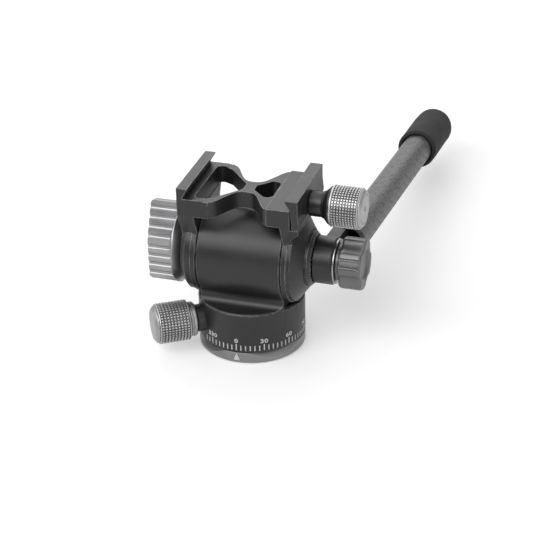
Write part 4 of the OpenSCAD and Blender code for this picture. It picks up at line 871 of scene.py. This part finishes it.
# %% Inner finishes
bronze = turned_metal("turned_bronze", (0.50, 0.34, 0.16), 0.34)
polymer = anodised("bearing_polymer", (0.62, 0.60, 0.53), 0.5, grain=0.4)
plastic = anodised("moulded_black_plastic", (0.022, 0.022, 0.023), 0.5, grain=0.5)
finish_of = {"steel": steel, "bronze": bronze, "bearing_polymer": polymer, "black_plastic": plastic,
             "charcoal_anodised": charcoal, "carbon_fibre": carbon}
slot_of = {part["node"]: part["material_slot"] for part in frame["record"]["subparts"]}
plain_nodes = [node for node in frame["nodes"].values() if not node.hide_render]
for node in plain_nodes:
    node.data.materials.clear()
    node.data.materials.append(finish_of[slot_of[node.name]])
print(len(plain_nodes), "nodes got a finish")

# %% [markdown]
# ## Floor and surroundings
# The head stands on a pale sheet that is white to the camera and in mirrors where no shadow falls. To
# other rays the sheet is grey, so that its bounce doesn't wash out the undersides. From below the sheet
# is clear, and it is cut out under the base plate, so that the tripod thread can be looked at. The world
# gives a dim, even fill and is plain white for the camera and in reflections, so that metal mirrors the
# white tent. Reflections fade towards the horizon, where the room round the tent is dark.

# %% Floor
FLOOR_HOLE = 18.0
FLOOR_LEVEL = -0.2


def shown_to(tree):
    """Two switches: one is on for the camera and through glass, the other for mirrors too."""
    path = add(tree, "ShaderNodeLightPath").outputs
    clear = sums(tree, "MAXIMUM", path["Is Camera Ray"], path["Is Transmission Ray"])
    return clear, sums(tree, "MAXIMUM", clear, path["Is Glossy Ray"])


sheet, tree, shader, coords = new_finish("pale_sheet")
fibre = noise(tree, coords, 30.0, 2.0)
pale = tinted(tree, (0.92, 0.92, 0.92), sums(tree, "MULTIPLY_ADD", fibre, 0.02, 0.99))
clear, shown = shown_to(tree)
bounced = add(tree, "ShaderNodeMix", {0: shown, 6: (0.22, 0.22, 0.22, 1.0), 7: pale}, data_type="RGBA")
tree.links.new(bounced.outputs[2], shader.inputs["Base Color"])
shader.inputs["Emission Color"].default_value = (1, 1, 1, 1)
away = add(tree, "ShaderNodeVectorMath", {0: coords}, operation="LENGTH").outputs["Value"]
glow = ramp(tree, away, 0.5, 1.6, 0.30, 1.0)
tree.links.new(sums(tree, "MULTIPLY", shown, glow), shader.inputs["Emission Strength"])
below = add(tree, "ShaderNodeNewGeometry").outputs["Backfacing"]
open_air = sums(tree, "MAXIMUM", below, sums(tree, "LESS_THAN", away, FLOOR_HOLE * MM))
cut_out = add(tree, "ShaderNodeMixShader",
              {0: open_air, 1: shader.outputs[0], 2: add(tree, "ShaderNodeBsdfTransparent").outputs[0]})
tree.links.new(cut_out.outputs[0], tree.nodes["Material Output"].inputs["Surface"])
shader.inputs["Roughness"].default_value = 0.9
shader.inputs["Specular IOR Level"].default_value = 0.1
span = np.linspace(-3.0, 3.0, 9)
gx, gy = np.meshgrid(span, span, indexing="ij")
floor = skin("floor", np.stack([gx, gy, np.full_like(gx, FLOOR_LEVEL * MM)], axis=-1), sheet, round_v=False)
print(floor.name, floor.dimensions.x, "m wide")

# %% World
world = bpy.data.worlds.new("light_tent")
bpy.context.scene.world = world
world.use_nodes = True
tree = world.node_tree
clear, shown = shown_to(tree)
way = add(tree, "ShaderNodeTexCoord").outputs["Generated"]
tent = add(tree, "ShaderNodeVectorMath", {0: way, 1: (0.0, 0.1, 0.995)},
           operation="DOT_PRODUCT").outputs["Value"]
cloth = ramp(tree, tent, 0.0, 0.75, 0.12, 1.0)
fill = tree.nodes["Background"]
fill.inputs["Color"].default_value, fill.inputs["Strength"].default_value = (1, 1, 1, 1), 0.20
white = add(tree, "ShaderNodeBackground",
            {"Color": (1, 1, 1, 1), "Strength": sums(tree, "MAXIMUM", clear, cloth)})
both = add(tree, "ShaderNodeMixShader", {0: shown, 1: fill.outputs[0], 2: white.outputs[0]})
tree.links.new(both.outputs[0], tree.nodes["World Output"].inputs["Surface"])
print("world", world.name)
